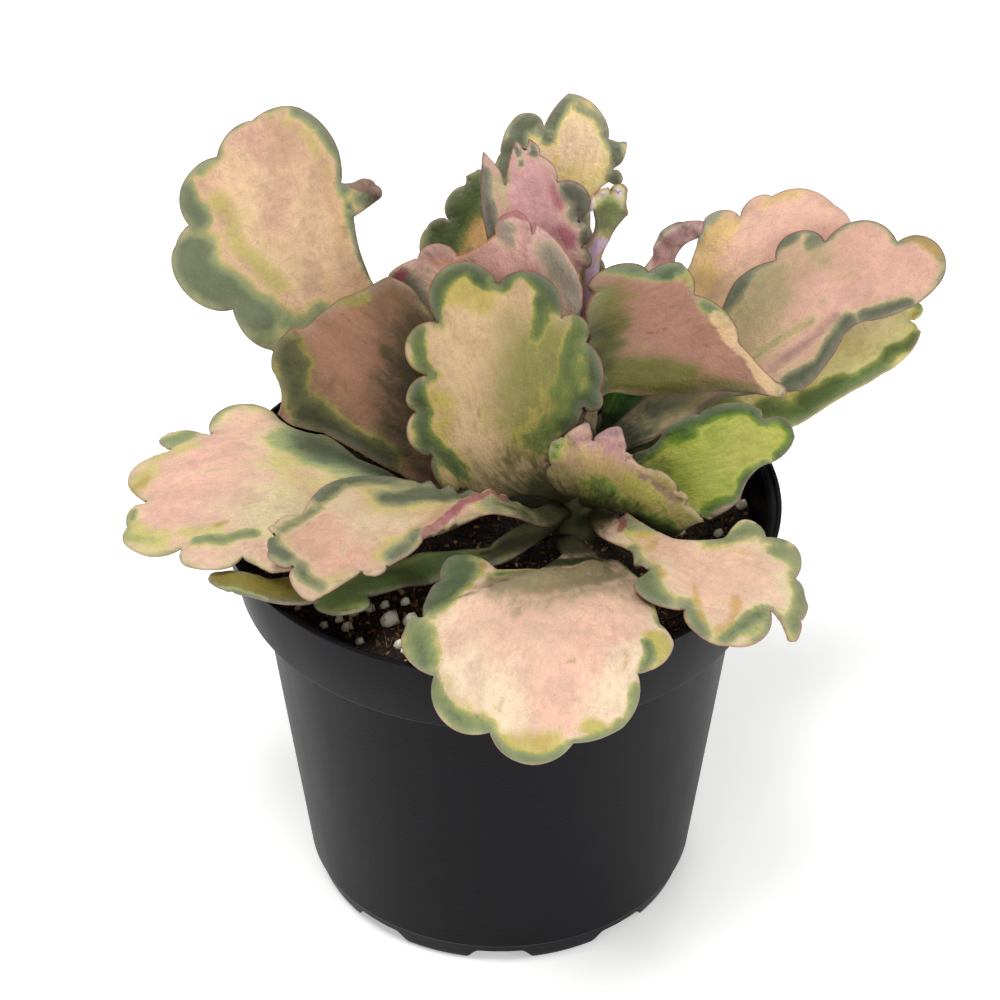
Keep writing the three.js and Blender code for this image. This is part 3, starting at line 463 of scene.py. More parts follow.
def makeMix():
    p = potShape
    m = mixShape
    gap = m["gap"]
    bottom = p["floor"] + gap
    ledge = p["collarBottom"] + p["wall"] + gap
    edge = m["level"] - m["edgeDrop"]
    edgeRadius = wallRadius(edge) - gap
    profile = [(0, bottom), (wallRadius(bottom) - gap, bottom), (wallRadius(ledge - 2 * gap) - gap, ledge)]
    profile.append((wallRadius(ledge) - gap, ledge))
    for i in range(m["rings"] + 1):
        t = i / m["rings"]
        profile.append((edgeRadius * (1 - t), edge + m["edgeDrop"] * min(1, t / m["edgeShare"])))
    points, faces = latheMesh(profile, m["sectors"])
    raised = []
    for x, y, z in points:
        if z / mm > edge - 0.01:  # the top only, less so at its edge
            z += mm * mixHeight(x / mm, y / mm) * (0.4 if z / mm < edge + 0.1 else 1)
        raised.append((x, y, z))
    bed = newPiece("potting_mix", raised, faces, darkEarth("moistPeat", m["colours"], 1.2))
    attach(bed, "root")
    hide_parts("soil")

    colours = {name: loose["colours"] for name, loose in loosePieces.items()}
    crumb = lumpMesh("crumb", 1, 0.5, 3)
    scatter("peat_crumbs", bed, crumb, darkEarth("peatCrumbs", colours["peat_crumbs"], 0.9))
    chip = lumpMesh("chip", 1, 0.35, 4, (1.5, 0.9, 0.45))
    scatter("bark_chips", bed, chip, darkEarth("pineBark", colours["bark_chips"], 1.5))
    fibre = fibreMesh()
    scatter("coir_fibres", bed, fibre, darkEarth("coirFibre", colours["coir_fibres"], 0.8))
    grain = lumpMesh("grain", 2, 0.7, 7)
    scatter("perlite_grains", bed, grain, perliteGlass(colours["perlite_grains"]), shownPerlite)
    print("potting mix: bed, crumbs, chips, fibres and perlite")


def lumpMesh(name, level, rough, seed, scale=(1, 1, 0.8)):  # an uneven lump about 1 mm across
    mesh = bpy.data.meshes.new(name)
    part = bmesh.new()
    bmesh.ops.create_icosphere(part, subdivisions=level, radius=0.5 * mm)
    away = Vector((seed + 0.37, 0.61, 0.23))  # off the noise's own lattice, which would make the lump square
    for v in part.verts:
        push = 1 + rough * noise.noise(v.co / mm * 2.1 + away)
        v.co = Vector([c * s * push for c, s in zip(v.co, scale)])
    part.to_mesh(mesh)
    part.free()
    return mesh


def fibreMesh():  # a bent, three-sided strand, thinner to both ends
    length, radius = 4, 0.11  # mm
    steps, sides = 6, 3
    points = []
    faces = []
    for i in range(steps + 1):
        t = i / steps
        centre = Vector((length * (t - 0.5), 0.7 * math.sin(2.6 * t), 0.5 * math.sin(3.1 * t)))
        thick = radius * (1 - 0.6 * abs(2 * t - 1))
        points += [(centre + Vector((0, y, z))) * mm for y, z in circle(thick, sides)]
    for first in range(0, steps * sides, sides):
        for k in range(sides):
            j = (k + 1) % sides
            faces.append((first + k, first + j, first + sides + j, first + sides + k))
    faces += [(2, 1, 0), tuple(steps * sides + k for k in range(sides))]
    return meshOf("fibre", points, faces)


def scatter(name, bed, lump, material, placed=()):  # loose pieces, some of them where the photo shows them
    loose = loosePieces[name]
    lumpObject = addObject(name + "Lump", lump)
    helpers = [lumpObject]
    tree, given = copyTree(name + "Scatter", [
        ("Lump", "Object"), ("Density", "Float"), ("Smallest", "Float"), ("Largest", "Float"), ("Seed", "Int"),
    ])
    normal = addNode(tree, "GeometryNodeInputNormal")
    position = addNode(tree, "GeometryNodeInputPosition")
    facing = addNode(tree, "ShaderNodeSeparateXYZ", {0: normal}, "Z")
    level = addNode(tree, "ShaderNodeSeparateXYZ", {0: position}, "Z")
    lowest = (mixShape["level"] - mixShape["looseDepth"]) * mm
    upwards = addNode(tree, "ShaderNodeMath", {0: facing, 1: mixShape["steepest"]}, operation="GREATER_THAN")
    high = addNode(tree, "ShaderNodeMath", {0: level, 1: lowest}, operation="GREATER_THAN")
    points = addNode(tree, "GeometryNodeDistributePointsOnFaces", {
        "Mesh": given["Geometry"],
        "Selection": addNode(tree, "ShaderNodeMath", {0: upwards, 1: high}, operation="MULTIPLY"),
        "Density": given["Density"],
        "Seed": given["Seed"],
    })
    between = {2: given["Smallest"], 3: given["Largest"], "Seed": given["Seed"]}
    size = addNode(tree, "FunctionNodeRandomValue", between, 1, data_type="FLOAT")
    if placed:
        helpers.append(placedPoints(name, bed, placed))
        spots = addNode(tree, "GeometryNodeObjectInfo", {"Object": helpers[-1]}, "Geometry")
        joined = tree.nodes.new("GeometryNodeJoinGeometry")
        stored = addNode(
            tree, "GeometryNodeStoreNamedAttribute",
            {"Geometry": points, "Name": "size", "Value": size}, data_type="FLOAT", domain="POINT",
        )
        tree.links.new(stored, joined.inputs[0])
        tree.links.new(addNode(tree, "GeometryNodeMeshToPoints", {"Mesh": spots}), joined.inputs[0])
        points = joined.outputs[0]
        size = addNode(tree, "GeometryNodeInputNamedAttribute", {"Name": "size"}, data_type="FLOAT")
    anyWay = {0: (0, 0, 0), 1: (6.28, 6.28, 6.28), "Seed": given["Seed"]}  # up to a whole turn about each axis
    turn = addNode(tree, "FunctionNodeRandomValue", anyWay, data_type="FLOAT_VECTOR")
    shape = addNode(tree, "GeometryNodeObjectInfo", {"Object": given["Lump"]}, "Geometry")
    endWithCopies(tree, given, {"Points": points, "Instance": shape, "Rotation": turn, "Scale": size})

    piece = runTree(name, bed.data.copy(), tree, {
        "Lump": lumpObject,
        "Density": loose["density"],
        "Smallest": loose["sizes"][0],
        "Largest": loose["sizes"][1],
        "Seed": loose["seed"],
        "Material": material,
    })
    for helper in helpers:
        bpy.data.objects.remove(helper)
    shadeSmooth(piece.data)
    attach(piece, "root")
    print(" ", name, len(piece.data.polygons), "faces")


def placedPoints(name, bed, placed):  # loose points that carry the size of the grain on each
    above = 120  # mm, over everything
    proud = 0.32  # of its size that a grain is raised
    spots = []
    for x, y, size in placed:
        hit, at, _, _ = bed.ray_cast(Vector((x, y, above)) * mm, Vector((0, 0, -1)))
        if not hit:
            spots.append(Vector((x, y, mixShape["level"])) * mm)
        else:
            spots.append(at + Vector((0, 0, size * mm * proud)))
    mesh = meshOf(name + "Spots", spots, [])
    sizes = mesh.attributes.new("size", "FLOAT", "POINT")
    sizes.data.foreach_set("value", [float(size) for _, _, size in placed])
    return addObject(name + "Spots", mesh)


# the stems, in mm
stemShape = {
    "radius": 4.2,
    "topRadius": 2.8,
    "taperFrom": 76,
    "taperTo": 116,
    "scarHeight": 0.18,  # of the low rings that old leaves leave
    "scarPitch": 6.5,
    "inset": 0.1,  # under the surface of the solid
    "tipRound": 22,  # the larger, the flatter the top
    "sides": 28,
    "rings": 60,
    "colours": ("#2f3a1e", "#5a5434"),
}

stemAxes = {  # foot and top, in mm
    "stem_front": ((14, 0, 64), (15, 3.5, 103)),
    "stem_back": ((13, 23, 64), (13, 26, 108)),
}


def stemSkin():  # young fleshy stem: smooth dark green skin, brown in patches, slightly waxy
    material, tree = newMaterial("succulentStem")
    where = addNode(tree, "ShaderNodeTexCoord", output="Object")
    patch = addNode(tree, "ShaderNodeTexNoise", {"Vector": where, "Scale": 1 / (4 * mm), "Detail": 4})
    pores = addNode(tree, "ShaderNodeTexNoise", {"Vector": where, "Scale": 1 / (0.8 * mm), "Detail": 3})
    green, brown = stemShape["colours"]
    finishShader(tree, {
        "Base Color": lay(tree, linear(green), linear(brown), patch, 0.42, 0.7),
        "Roughness": 0.5,
        "Subsurface Weight": 0.1,
        "Subsurface Radius": (0.002, 0.0015, 0.0008),
        "Normal": addNode(tree, "ShaderNodeBump", {"Height": pores, "Distance": 0.08 * mm}),
    })
    return material


def makeStems():
    s = stemShape
    material = stemSkin()
    for name, (foot, top) in stemAxes.items():
        foot, top = Vector(foot), Vector(top)
        axis = top - foot
        turn = axis.to_track_quat("Z", "X")
        profile = []
        for i in range(s["rings"] + 1):
            t = i / s["rings"]
            z = foot.z + t * (top.z - foot.z)
            taper = min(1, max(0, (z - s["taperFrom"]) / (s["taperTo"] - s["taperFrom"])))
            scar = s["scarHeight"] * math.cos(z * 2 * math.pi / s["scarPitch"])
            radius = s["radius"] + taper * (s["topRadius"] - s["radius"]) + scar - s["inset"]
            profile.append((radius * min(1, math.sqrt(max(0.0, (1 - t) * s["tipRound"]))), t * axis.length))
        profile = [(0, 0), *profile[:-1], (0, axis.length)]
        points, faces = latheMesh(profile, s["sides"])
        points = [turn @ Vector(p) + foot * mm for p in points]
        stem = newPiece(name + "_skin", points, faces, material)
        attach(stem, "root")
        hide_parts(name)
    print("stems:", len(stemAxes))


# the leaves: the same midribs, outlines and rise to either side as the solids, in mm and degrees
leafShapes = {
    "front": {
        "spine": [
            [12.25, -3.75, 79], [15, -14, 82], [12, -34, 90], [9, -52, 91], [7, -63, 85], [6, -69, 78],
        ],
        "across": [[-1, 0, 0]],
        "riseLeft": [5, 0, -8, -8, -12],
        "riseRight": [10, 25, 5, -5, -10],
        "left": [
            [0, -2.2], [4, -2.8], [12.5, -4.5], [11.5, -6], [12, -8], [25, -13.5], [38.5, -18.5],
            [48.5, -21], [52.5, -16.5], [61, -17], [69, -7], [72, -4],
        ],
        "right": [
            [0, 2.2], [5, 2.8], [22, 6.5], [28, 10.5], [28.5, 13.5], [27, 19.5], [35, 23], [41, 24.5],
            [47.5, 24], [47.5, 25.5], [50, 27], [56, 26], [59.5, 20], [67, 17.5], [68.5, 8.5], [72, 5.5],
        ],
        "length": 73.5,
    },
    "front_right": {
        "spine": [
            [18.75, -1.5, 83.5], [23, -16, 89], [28, -22, 91], [37, -30, 93], [48, -35, 93],
            [56, -38, 91.5],
        ],
        "across": [[-0.55, -0.8, -0.1]],
        "riseLeft": [10, 60, 20, 0, 0, 0],
        "riseRight": [0, 5, 6, -6, -10],
        "left": [
            [0, -2], [4, -2.4], [7, -3], [8.5, -2.5], [11.5, -4.5], [17.5, -4.5], [23, -4.5], [30.5, -5],
            [36.5, -9.5], [40, -14.5], [45.5, -12], [52, -11], [54, -4.5], [56, -2.5],
        ],
        "right": [
            [0, 2], [4, 2.6], [18.5, 1.5], [21.5, 2.5], [24.5, 5], [27, 5.5], [29, 5.5], [34, 13],
            [38.5, 11], [45, 17], [52.5, 5.3], [55.3, 7.6], [57.6, 9.9], [58.6, 10], [59, 9], [59, 6.8],
            [58.2, 4.8], [58.6, 2.5],
        ],
        "length": 57.5,
    },
    "left_low": {
        "spine": [
            [10, -0.75, 81.5], [-4, -13, 82], [-19, -22, 86], [-37, -29, 88], [-45, -29, 89],
            [-53.5, -27, 89.5],
        ],
        "across": [[-0.25, 1, 0]],
        "riseLeft": [0, 0, -5, 0, 0],
        "riseRight": [0, 0, 0, 0, 0],
        "left": [
            [0, -2], [5, -3], [14, -3.5], [23, -3.5], [32, -4], [38.5, -5.5], [45, -5.5], [52, -11],
            [55, -5.5], [61.5, -6], [68, -4], [71, -4.5],
        ],
        "right": [[0, 2.2], [5, 3], [14.5, 2], [25.5, 3.5], [37, 3], [49, 3.5], [62.5, 1.5], [69, 1]],
        "length": 73,
    },
    "left_wide": {
        "spine": [[9.75, 2.75, 84], [-12, 1, 86], [-32, 0, 89], [-51, -4, 91], [-70.5, -12, 88.5]],
        "across": [[-0.05, 1, 0]],
        "riseLeft": [0, 5, 8, 4, 0],
        "riseRight": [0, 10, 5, 0, 0],
        "left": [
            [0, -2.2], [6, -3], [16, -7.5], [29.5, -18.5], [47, -30], [54.5, -30], [61, -28.5], [65, -26],
            [66.5, -21.5], [73.5, -23], [76.5, -12.5], [83, -10.5],
        ],
        "right": [
            [0, 2.2], [6, 3], [25, 2.5], [32, 5.5], [37, 9], [40, 12.5], [43, 16], [46.5, 17], [49.5, 21.5],
            [55, 26.5], [61, 19.5], [64.5, 22.5], [67.5, 24.5], [69, 22], [68, 18], [76.5, 16], [77, 6],
            [80.5, 4.5],
        ],
        "length": 83,
    },
    "left_front": {
        "spine": [
            [11.5, -2, 85], [7, -10, 89], [0, -13, 94], [-13, -18, 97], [-28, -25, 98], [-42.5, -31, 97.5],
        ],
        "across": [[-0.35, 1, 0.15]],
        "riseLeft": [10, 10, 0, -5, -5],
        "riseRight": [0, 0, 0, 0, 0],
        "left": [
            [0, -2.2], [5, -2.4], [24.5, -3], [31.5, -5.5], [38, -7], [41.5, -9.5], [47, -10.5],
            [50.5, -12], [51.5, -10], [56, -12.5], [63, -14], [65, -10], [63, -5], [65.5, -4.5],
        ],
        "right": [
            [0, 2.2], [5, 2.4], [24.5, 3.5], [33, 7.5], [42.5, 13], [51, 11.5], [57, 7], [60.5, 7], [63, 6],
            [64, 5.5], [63.5, 3.5], [65, 2.5],
        ],
        "length": 66,
    },
    "centre": {
        "spine": [[13, -2.75, 89], [9, -4, 92], [4, -3, 99], [2, 1, 114], [-0.5, 9, 129.5]],
        "across": [[1, 0, 0]],
        "riseLeft": [0, 8, 8, 8, 8],
        "riseRight": [0, 8, 8, 8, 8],
        "left": [
            [0, -2], [4, -2.4], [7.5, -5], [9.5, -8.5], [12.5, -13], [14.5, -17], [17, -16.5], [20, -20.5],
            [25, -18.5], [29.5, -20], [32.5, -15.5], [40.5, -18], [42, -12], [50.5, -11.5],
        ],
        "right": [
            [0, 2], [5, 2.6], [9, 4], [10.5, 5.5], [16, 7.5], [19.5, 11.5], [23, 13], [24, 17], [26, 16.5],
            [30, 17.5], [34.5, 15], [39.5, 14.5], [39.5, 11], [48.5, 8],
        ],
        "length": 47.5,
    },
    "left_mid": {
        "spine": [[10.25, 3.25, 92], [0, 3, 91], [-15, 5, 99], [-29, 10, 111], [-39, 14, 116.5]],
        "across": [[0.35, 0.3, 0.85]],
        "riseLeft": [0, 5, 5, 0, 0],
        "riseRight": [0, 10, 10, 20, 20],
        "left": [
            [0, -2.2], [6, -3], [14.5, -5.5], [20, -9], [26, -9.5], [33, -11], [40.5, -13.5], [46, -16],
            [53, -16.5], [54, -13.5], [58, -10], [60, -4.5],
        ],
        "right": [
            [0, 2.2], [6, 3], [12.5, 6], [32, 16], [45, 20.5], [48.5, 21.5], [50, 20], [52, 14.5], [54, 10],
            [55.5, 6.5], [56.5, 3.5], [57, 1.5],
        ],
        "length": 59,
    },
    "left_tall": {
        "spine": [
            [11.75, 6.5, 97], [-3, 10, 97], [-19, 16, 105], [-33, 25, 121], [-41, 32, 136], [-47, 36, 149],
        ],
        "across": [[0.8, 0.35, 0.5]],
        "riseLeft": [0, 0, 0, 0, 0],
        "riseRight": [0, 0, 0, 5, 5],
        "left": [
            [0, -2.2], [6, -3], [22, -5], [36, -9.5], [44, -13.5], [48, -15.5], [51.5, -17], [56.5, -19.5],
            [60.5, -19], [68, -26], [75, -23.5], [77, -21.5], [77.5, -19.5], [85, -17.5], [87, -9],
            [90.5, -5],
        ],
        "right": [
            [0, 2.2], [6, 3], [18.5, 5.5], [34, 8], [46.5, 7], [49.5, 6.5], [52, 6.5], [59, 8], [65.3, 9.8],
            [65.8, 12.4], [66.3, 15], [67.8, 16.8], [69.6, 16.2], [71.3, 15.3], [71.8, 13.8], [71.9, 11.8],
            [72.5, 10.3], [81, 12.5], [89, 9], [91, 5],
        ],
        "length": 90.5,
    },
    "right_lime": {
        "spine": [[19.25, 1.25, 88], [27, 0, 90], [38, 0, 95], [48, 2, 98], [56.5, 4, 98]],
        "across": [[0.2, -0.6, -0.85]],
        "riseLeft": [0, 5, 5, 0, 0],
        "riseRight": [0, 5, 10, 0, 0],
        "left": [
            [0, -2], [4, -2.6], [4.5, -2], [6, -4.5], [10, -6], [12.5, -6], [15.5, -7.5], [19, -9],
            [23.5, -8.5], [29.5, -8.5], [33.5, -6], [33.5, -5], [34, -4], [38.5, -3],
        ],
        "right": [
            [0, 2], [4, 2.4], [9, 3], [14.5, 8], [18, 11], [22, 10.5], [25, 9.5], [28.5, 6], [34, 4.5],
            [37.5, 2.5],
        ],
        "length": 39.5,
    },
    "right_small": {
        "spine": [[17, -2.5, 87.5], [19, -8, 92], [21, -10, 102], [22.5, -10, 110.5]],
        "across": [[1, -0.25, 0]],
        "riseLeft": [0, 0, 5, 5, 5],
        "riseRight": [10, 15, 15, 10, 5],
        "left": [
            [0, -1.8], [3, -2.2], [6, -4], [6, -8], [13.5, -11], [16.5, -12], [19.5, -12], [20.5, -11],
            [21, -10], [24, -8.5], [25.5, -6], [24, -5], [22, -4.5], [25, -3],
        ],
        "right": [
            [0, 1.8], [4, 2], [6.5, 6], [1.5, 14], [3, 16.5], [11.5, 17.5], [14, 20], [15, 19], [16, 15.5],
            [17, 16], [18, 13.5], [20, 12], [20, 8], [20.5, 5], [21, 3.5], [22, 3], [22, 2], [24.5, 1.5],
        ],
        "length": 26.5,
    },
    "right_curled": {
        "spine": [
            [19, -0.5, 96], [17, -2, 106], [21, 7, 109], [34, 11, 107], [45, 11, 106], [54, 9, 103.5],
        ],
        "across": [[0.5, -0.3, -0.2], [0, -0.4, -0.9], [0, -0.4, -0.9]],
        "riseLeft": [0, 0, 0, 0, 0, 0],
        "riseRight": [0, 0, -60, -60, -60, -30],
        "left": [
            [0, -1.4], [12, -1.4], [20, -1], [18.5, -3], [20.5, -9], [21, -14.5], [22, -17], [23.5, -21.5],
            [28, -20], [34, -22], [37.5, -16], [42, -14], [45.5, -7.5], [48.5, -5], [53.5, -2.5],
            [56, -1.5],
        ],
        "right": [[0, 1.4], [10, 1.4], [17, 1.5], [24, 4], [34, 5], [42, 3]],
        "length": 56,
    },
    "right_ear": {
        "spine": [[17, 23.25, 105], [25, 23, 110], [30, 27, 119], [34, 28, 126], [39, 28, 131.5]],
        "across": [[0.6, -0.5, -0.6]],
        "riseLeft": [0, 0, 0, 0, 0],
        "riseRight": [0, 0, 0, 0, 0],
        "left": [
            [0, -2], [5, -2.2], [14.5, -3], [19.5, -3], [24.5, -3], [29, -4], [32.5, -2.5], [34.5, -1.5],
        ],
        "right": [[0, 2], [5, 2.2], [14.5, 1.5], [19.5, 2.5], [25.5, 1.5], [28, 1], [32, 1.5], [34.5, 1.5]],
        "length": 36,
    },
    "right_large": {
        "spine": [
            [18.75, 4.5, 94], [29, 12, 96], [40, 16, 100], [52, 20, 104], [68, 24, 113], [84.5, 27, 117.5],
        ],
        "across": [[0.3, -0.75, -0.75]],
        "riseLeft": [0, 0, 5, 5, 0, 0],
        "riseRight": [0, 5, 15, 15, 5, 0],
        "left": [
            [0, -2.2], [6, -3], [13, -4.5], [25, -9], [35.5, -14], [43.5, -17.5], [50, -16.5], [55.5, -19],
            [58, -15], [65.5, -16], [69.5, -10.5], [77.5, -4.5],
        ],
        "right": [
            [0, 2.2], [6, 3], [10.5, 3.5], [15, 3.5], [21, 3], [25.5, 2.5], [30, 3], [36, 5.5], [41, 8],
            [47, 7], [53.5, 3], [57, 2.5], [59, 2.5], [67, 3],
        ],
        "length": 74.5,
    },
    "right_back": {
        "spine": [[17.5, 26, 98], [35, 26, 105], [43, 33, 112], [52, 38, 122], [65, 42, 126]],
        "across": [[0.6, -0.4, -0.7]],
        "riseLeft": [0, 0, 0, 0, 0],
        "riseRight": [0, 0, 0, 0, 0],
        "left": [
            [0, -2], [5, -2.6], [21.5, -6], [29.5, -7.5], [36, -9], [39.5, -10.5], [41, -11], [43.5, -9.5],
            [44.5, -6], [47.5, -7.5], [50, -6], [56, -5],
        ],
        "right": [[0, 2], [5, 2.6], [24.5, 2.5], [30.5, 8], [40, 10.5], [56, 10.5], [60.5, 7.5], [62, 4]],
        "length": 60.5,
    },
    "right_low": {
        "spine": [[18.5, 5, 84], [31, 12, 92], [45, 19, 94], [60, 26, 97], [74, 31, 100], [82.5, 34, 102]],
        "across": [[0.35, -0.9, -0.45]],
        "riseLeft": [0, 0, 0, 0, 0, 0],
        "riseRight": [0, 0, 5, 5, 5, 5],
        "left": [
            [0, -2], [5, -2.6], [19.5, -1], [32.5, -5.5], [46.5, -8.5], [59.5, -12.5], [70, -11.5],
            [74.5, -9.5], [75.5, -6.5], [75.5, -3.5], [72.5, -3], [73, -1.5],
        ],
        "right": [
            [0, 2], [5, 2.6], [17, 6], [26, 7], [34, 8], [39, 9], [42.5, 9], [53, 7.5], [63, 5.5], [69, 4],
        ],
        "length": 73.5,
    },
    "back_top": {
        "spine": [[13.25, 30.75, 105], [14, 33, 110], [13, 37, 126], [13, 40, 140], [13, 43, 150.5]],
        "across": [[1, 0, 0]],
        "riseLeft": [0, 5, 10, 10, 10, 10],
        "riseRight": [0, 5, 10, 10, 10, 10],
        "left": [
            [0, -2], [3, -2.6], [6, -3], [12, -5], [25.5, -10.5], [29.5, -14], [36, -13], [39.5, -12.6],
            [42, -11], [44, -7.5], [41, -4.5], [45, -2.5],
        ],
        "right": [
            [0, 2], [3, 2.6], [6, 3.5], [11.5, 4], [23, 4.5], [27.5, 5.5], [30, 8], [32.3, 10.4],
            [32.8, 8.8], [35.2, 10.9], [38, 11.2], [38.3, 9.5], [38.6, 7.8], [43, 7],
        ],
        "length": 47.5,
    },
    "centre_top": {
        "spine": [[10.5, 21, 102], [12, 20, 112], [10, 22, 123], [7, 25, 136], [5, 26, 144], [3, 27, 150]],
        "across": [[1, 0.1, 0]],
        "riseLeft": [0, 10, 40, 40, 20, 0],
        "riseRight": [0, 5, 5, 5, 5, 5],
        "left": [
            [0, -2.2], [5, -2.4], [8, -5.5], [23, -11], [33.5, -11.5], [42, -10], [50, -6.5], [46.5, -5],
            [42, -4.5], [46, -3],
        ],
        "right": [
            [0, 2.2], [5, 2.4], [8, 3], [15.5, 4.5], [21, 5.5], [24, 8], [25.8, 6.5], [28.8, 9.2], [31, 7],
            [36.5, 10.2], [39.7, 5], [43.2, 5.2], [45.6, 3.3], [47.6, 3.6], [49.3, 2.4], [48.4, 1.7],
            [47.7, 0.9], [48.8, 0.7],
        ],
        "length": 50,
    },
    "left_back": {
        "spine": [[8.25, 26.5, 104], [-1, 27, 114], [-4, 32, 125], [-6.5, 35, 137]],
        "across": [[0.9, 0.2, 0.25]],
        "riseLeft": [0, 0, 0, 0, 0],
        "riseRight": [0, 0, 0, 0, 0],
        "left": [
            [0, -2], [5, -2.6], [9, -4], [17.5, -6.5], [23, -10.5], [28, -11.5], [30.5, -9.5], [32, -7.5],
            [31, -5], [35.5, -4.5], [37, -1], [37.5, -0.5],
        ],
        "right": [[0, 2], [5, 2.6], [5.5, 5], [20.5, 8.5], [30.5, 6], [36, 4.5], [39.5, 3], [39.5, 1.5]],
        "length": 39,
    },
    "centre_back": {
        "spine": [[14.75, 8.5, 99], [11, 8, 106], [9, 12, 116], [6, 15, 129], [3.5, 18, 140]],
        "across": [[1, -0.1, 0.1]],
        "riseLeft": [0, 0, 0, 0, 0],
        "riseRight": [0, 0, 5, 0, 0],
        "left": [
            [0, -2], [5, -2.6], [13, -6.5], [19, -17], [26.5, -25], [30, -28], [36.5, -27], [38, -24.5],
            [38.5, -21], [41, -17], [37.5, -13.5], [39, -8.5], [40.5, -5.5], [44, -3.5],
        ],
        "right": [
            [0, 2], [5, 2.4], [9.5, 2.5], [13.5, 4.5], [18.5, 5.5], [22.5, 7.5], [27, 8.5], [35.5, 7],
            [41.5, 2.5], [40, 2], [39.5, 1.5], [42.5, 1.5],
        ],
        "length": 44.5,
    },
    "back_cup": {
        "spine": [[17.75, 27.75, 104.5], [18, 28, 113], [19, 29, 123], [20, 30, 129], [21, 29, 137]],
        "across": [[0.9, 0, 0.3]],
        "riseLeft": [0, 0, 0, 30, 40],
        "riseRight": [0, 0, 0, 30, 40],
        "left": [
            [0, -1.6], [5, -1.8], [10.5, -3], [14, -3], [20.5, -2.5], [24, -2], [29, -3], [32, -4.5],
            [33, -3], [34.5, -2],
        ],
        "right": [
            [0, 1.6], [5, 1.8], [9, 2], [17, 0.5], [22, 1.5], [25.5, 2.5], [28.5, 4], [32, 3.5], [34.5, 3],
            [35.5, 1.5],
        ],
        "length": 33,
    },
    "back_small": {
        "spine": [[14.25, 30.25, 98], [18, 37, 107], [19, 42, 114.5]],
        "across": [[1, 0, 0]],
        "riseLeft": [0, 0, 0, 0],
        "riseRight": [0, 0, 0, 0],
        "left": [[0, -1.6], [5, -1.8], [7.5, -1], [12.5, -2], [16.5, -1.5], [20, -1]],
        "right": [[0, 1.6], [5, 1.8], [8, 1], [12.5, 1], [16.5, 1.5], [19.5, 1.5]],
        "length": 21,
    },
    "right_inner": {
        "spine": [[17.5, 21.25, 84], [22, 22, 87], [25, 24, 91], [29.5, 27, 97]],
        "across": [[0.7, -0.3, -0.5]],
        "riseLeft": [0, 0, 0, 0],
        "riseRight": [0, 0, 0, 0],
        "left": [[0, -2], [4, -2.2], [5, -2.5], [11, -5.5], [15.5, -6], [19, -3.5]],
        "right": [[0, 2], [4, 2.2], [5.5, 3], [10, 3.5], [14, 4.5], [18, 3]],
        "length": 19,
    },
    "hidden_back": {
        "spine": [[12.25, 29.5, 87], [10, 36, 90], [4, 46, 92], [-2, 56, 92.5]],
        "across": [[1, 0.3, 0]],
        "riseLeft": [0, 0, 0, 0],
        "riseRight": [0, 0, 0, 0],
        "left": [[0, -2], [3, -2.6], [6, -4], [22, -9], [27, -8], [30.5, -5]],
        "right": [[0, 2], [3, 2.6], [6, 4], [11.5, 10], [20.5, 13.5], [26.5, 10]],
        "length": 31,
    },
    "hidden_right": {
        "spine": [[17.75, 26, 84], [28, 33, 87], [38, 46, 93], [43, 54, 97.5]],
        "across": [[0.5, -0.8, 0]],
        "riseLeft": [0, 0, 0, 0],
        "riseRight": [0, 0, 0, 0],
        "left": [
            [0, -2], [5, -2.6], [8.5, -4.5], [19.5, -10.5], [27, -9.5], [32, -9], [36, -6], [37.5, -0.5],
        ],
        "right": [[0, 2], [5, 2.6], [9, 7.5], [16, 12.5], [22, 15.5], [27, 15.5], [31.5, 14], [34, 9.5]],
        "length": 41,
    },
    "hidden_left": {
        "spine": [[8, 23, 83], [1, 24, 87], [-13, 34, 90], [-28, 42, 92]],
        "across": [[0.3, 1, 0]],
        "riseLeft": [0, 0, 0, 0],
        "riseRight": [0, 0, 0, 0],
        "left": [
            [0, -2], [5, -2.6], [6, -9.5], [10.5, -16.5], [21, -17.5], [31.5, -18], [38, -14.5], [42, -9.5],
        ],
        "right": [[0, 2], [6, 2.8], [12, 4], [23.5, 2.5], [36.5, 3.5], [41, 3], [43, 2.5], [44, 0.5]],
        "length": 43,
    },
}

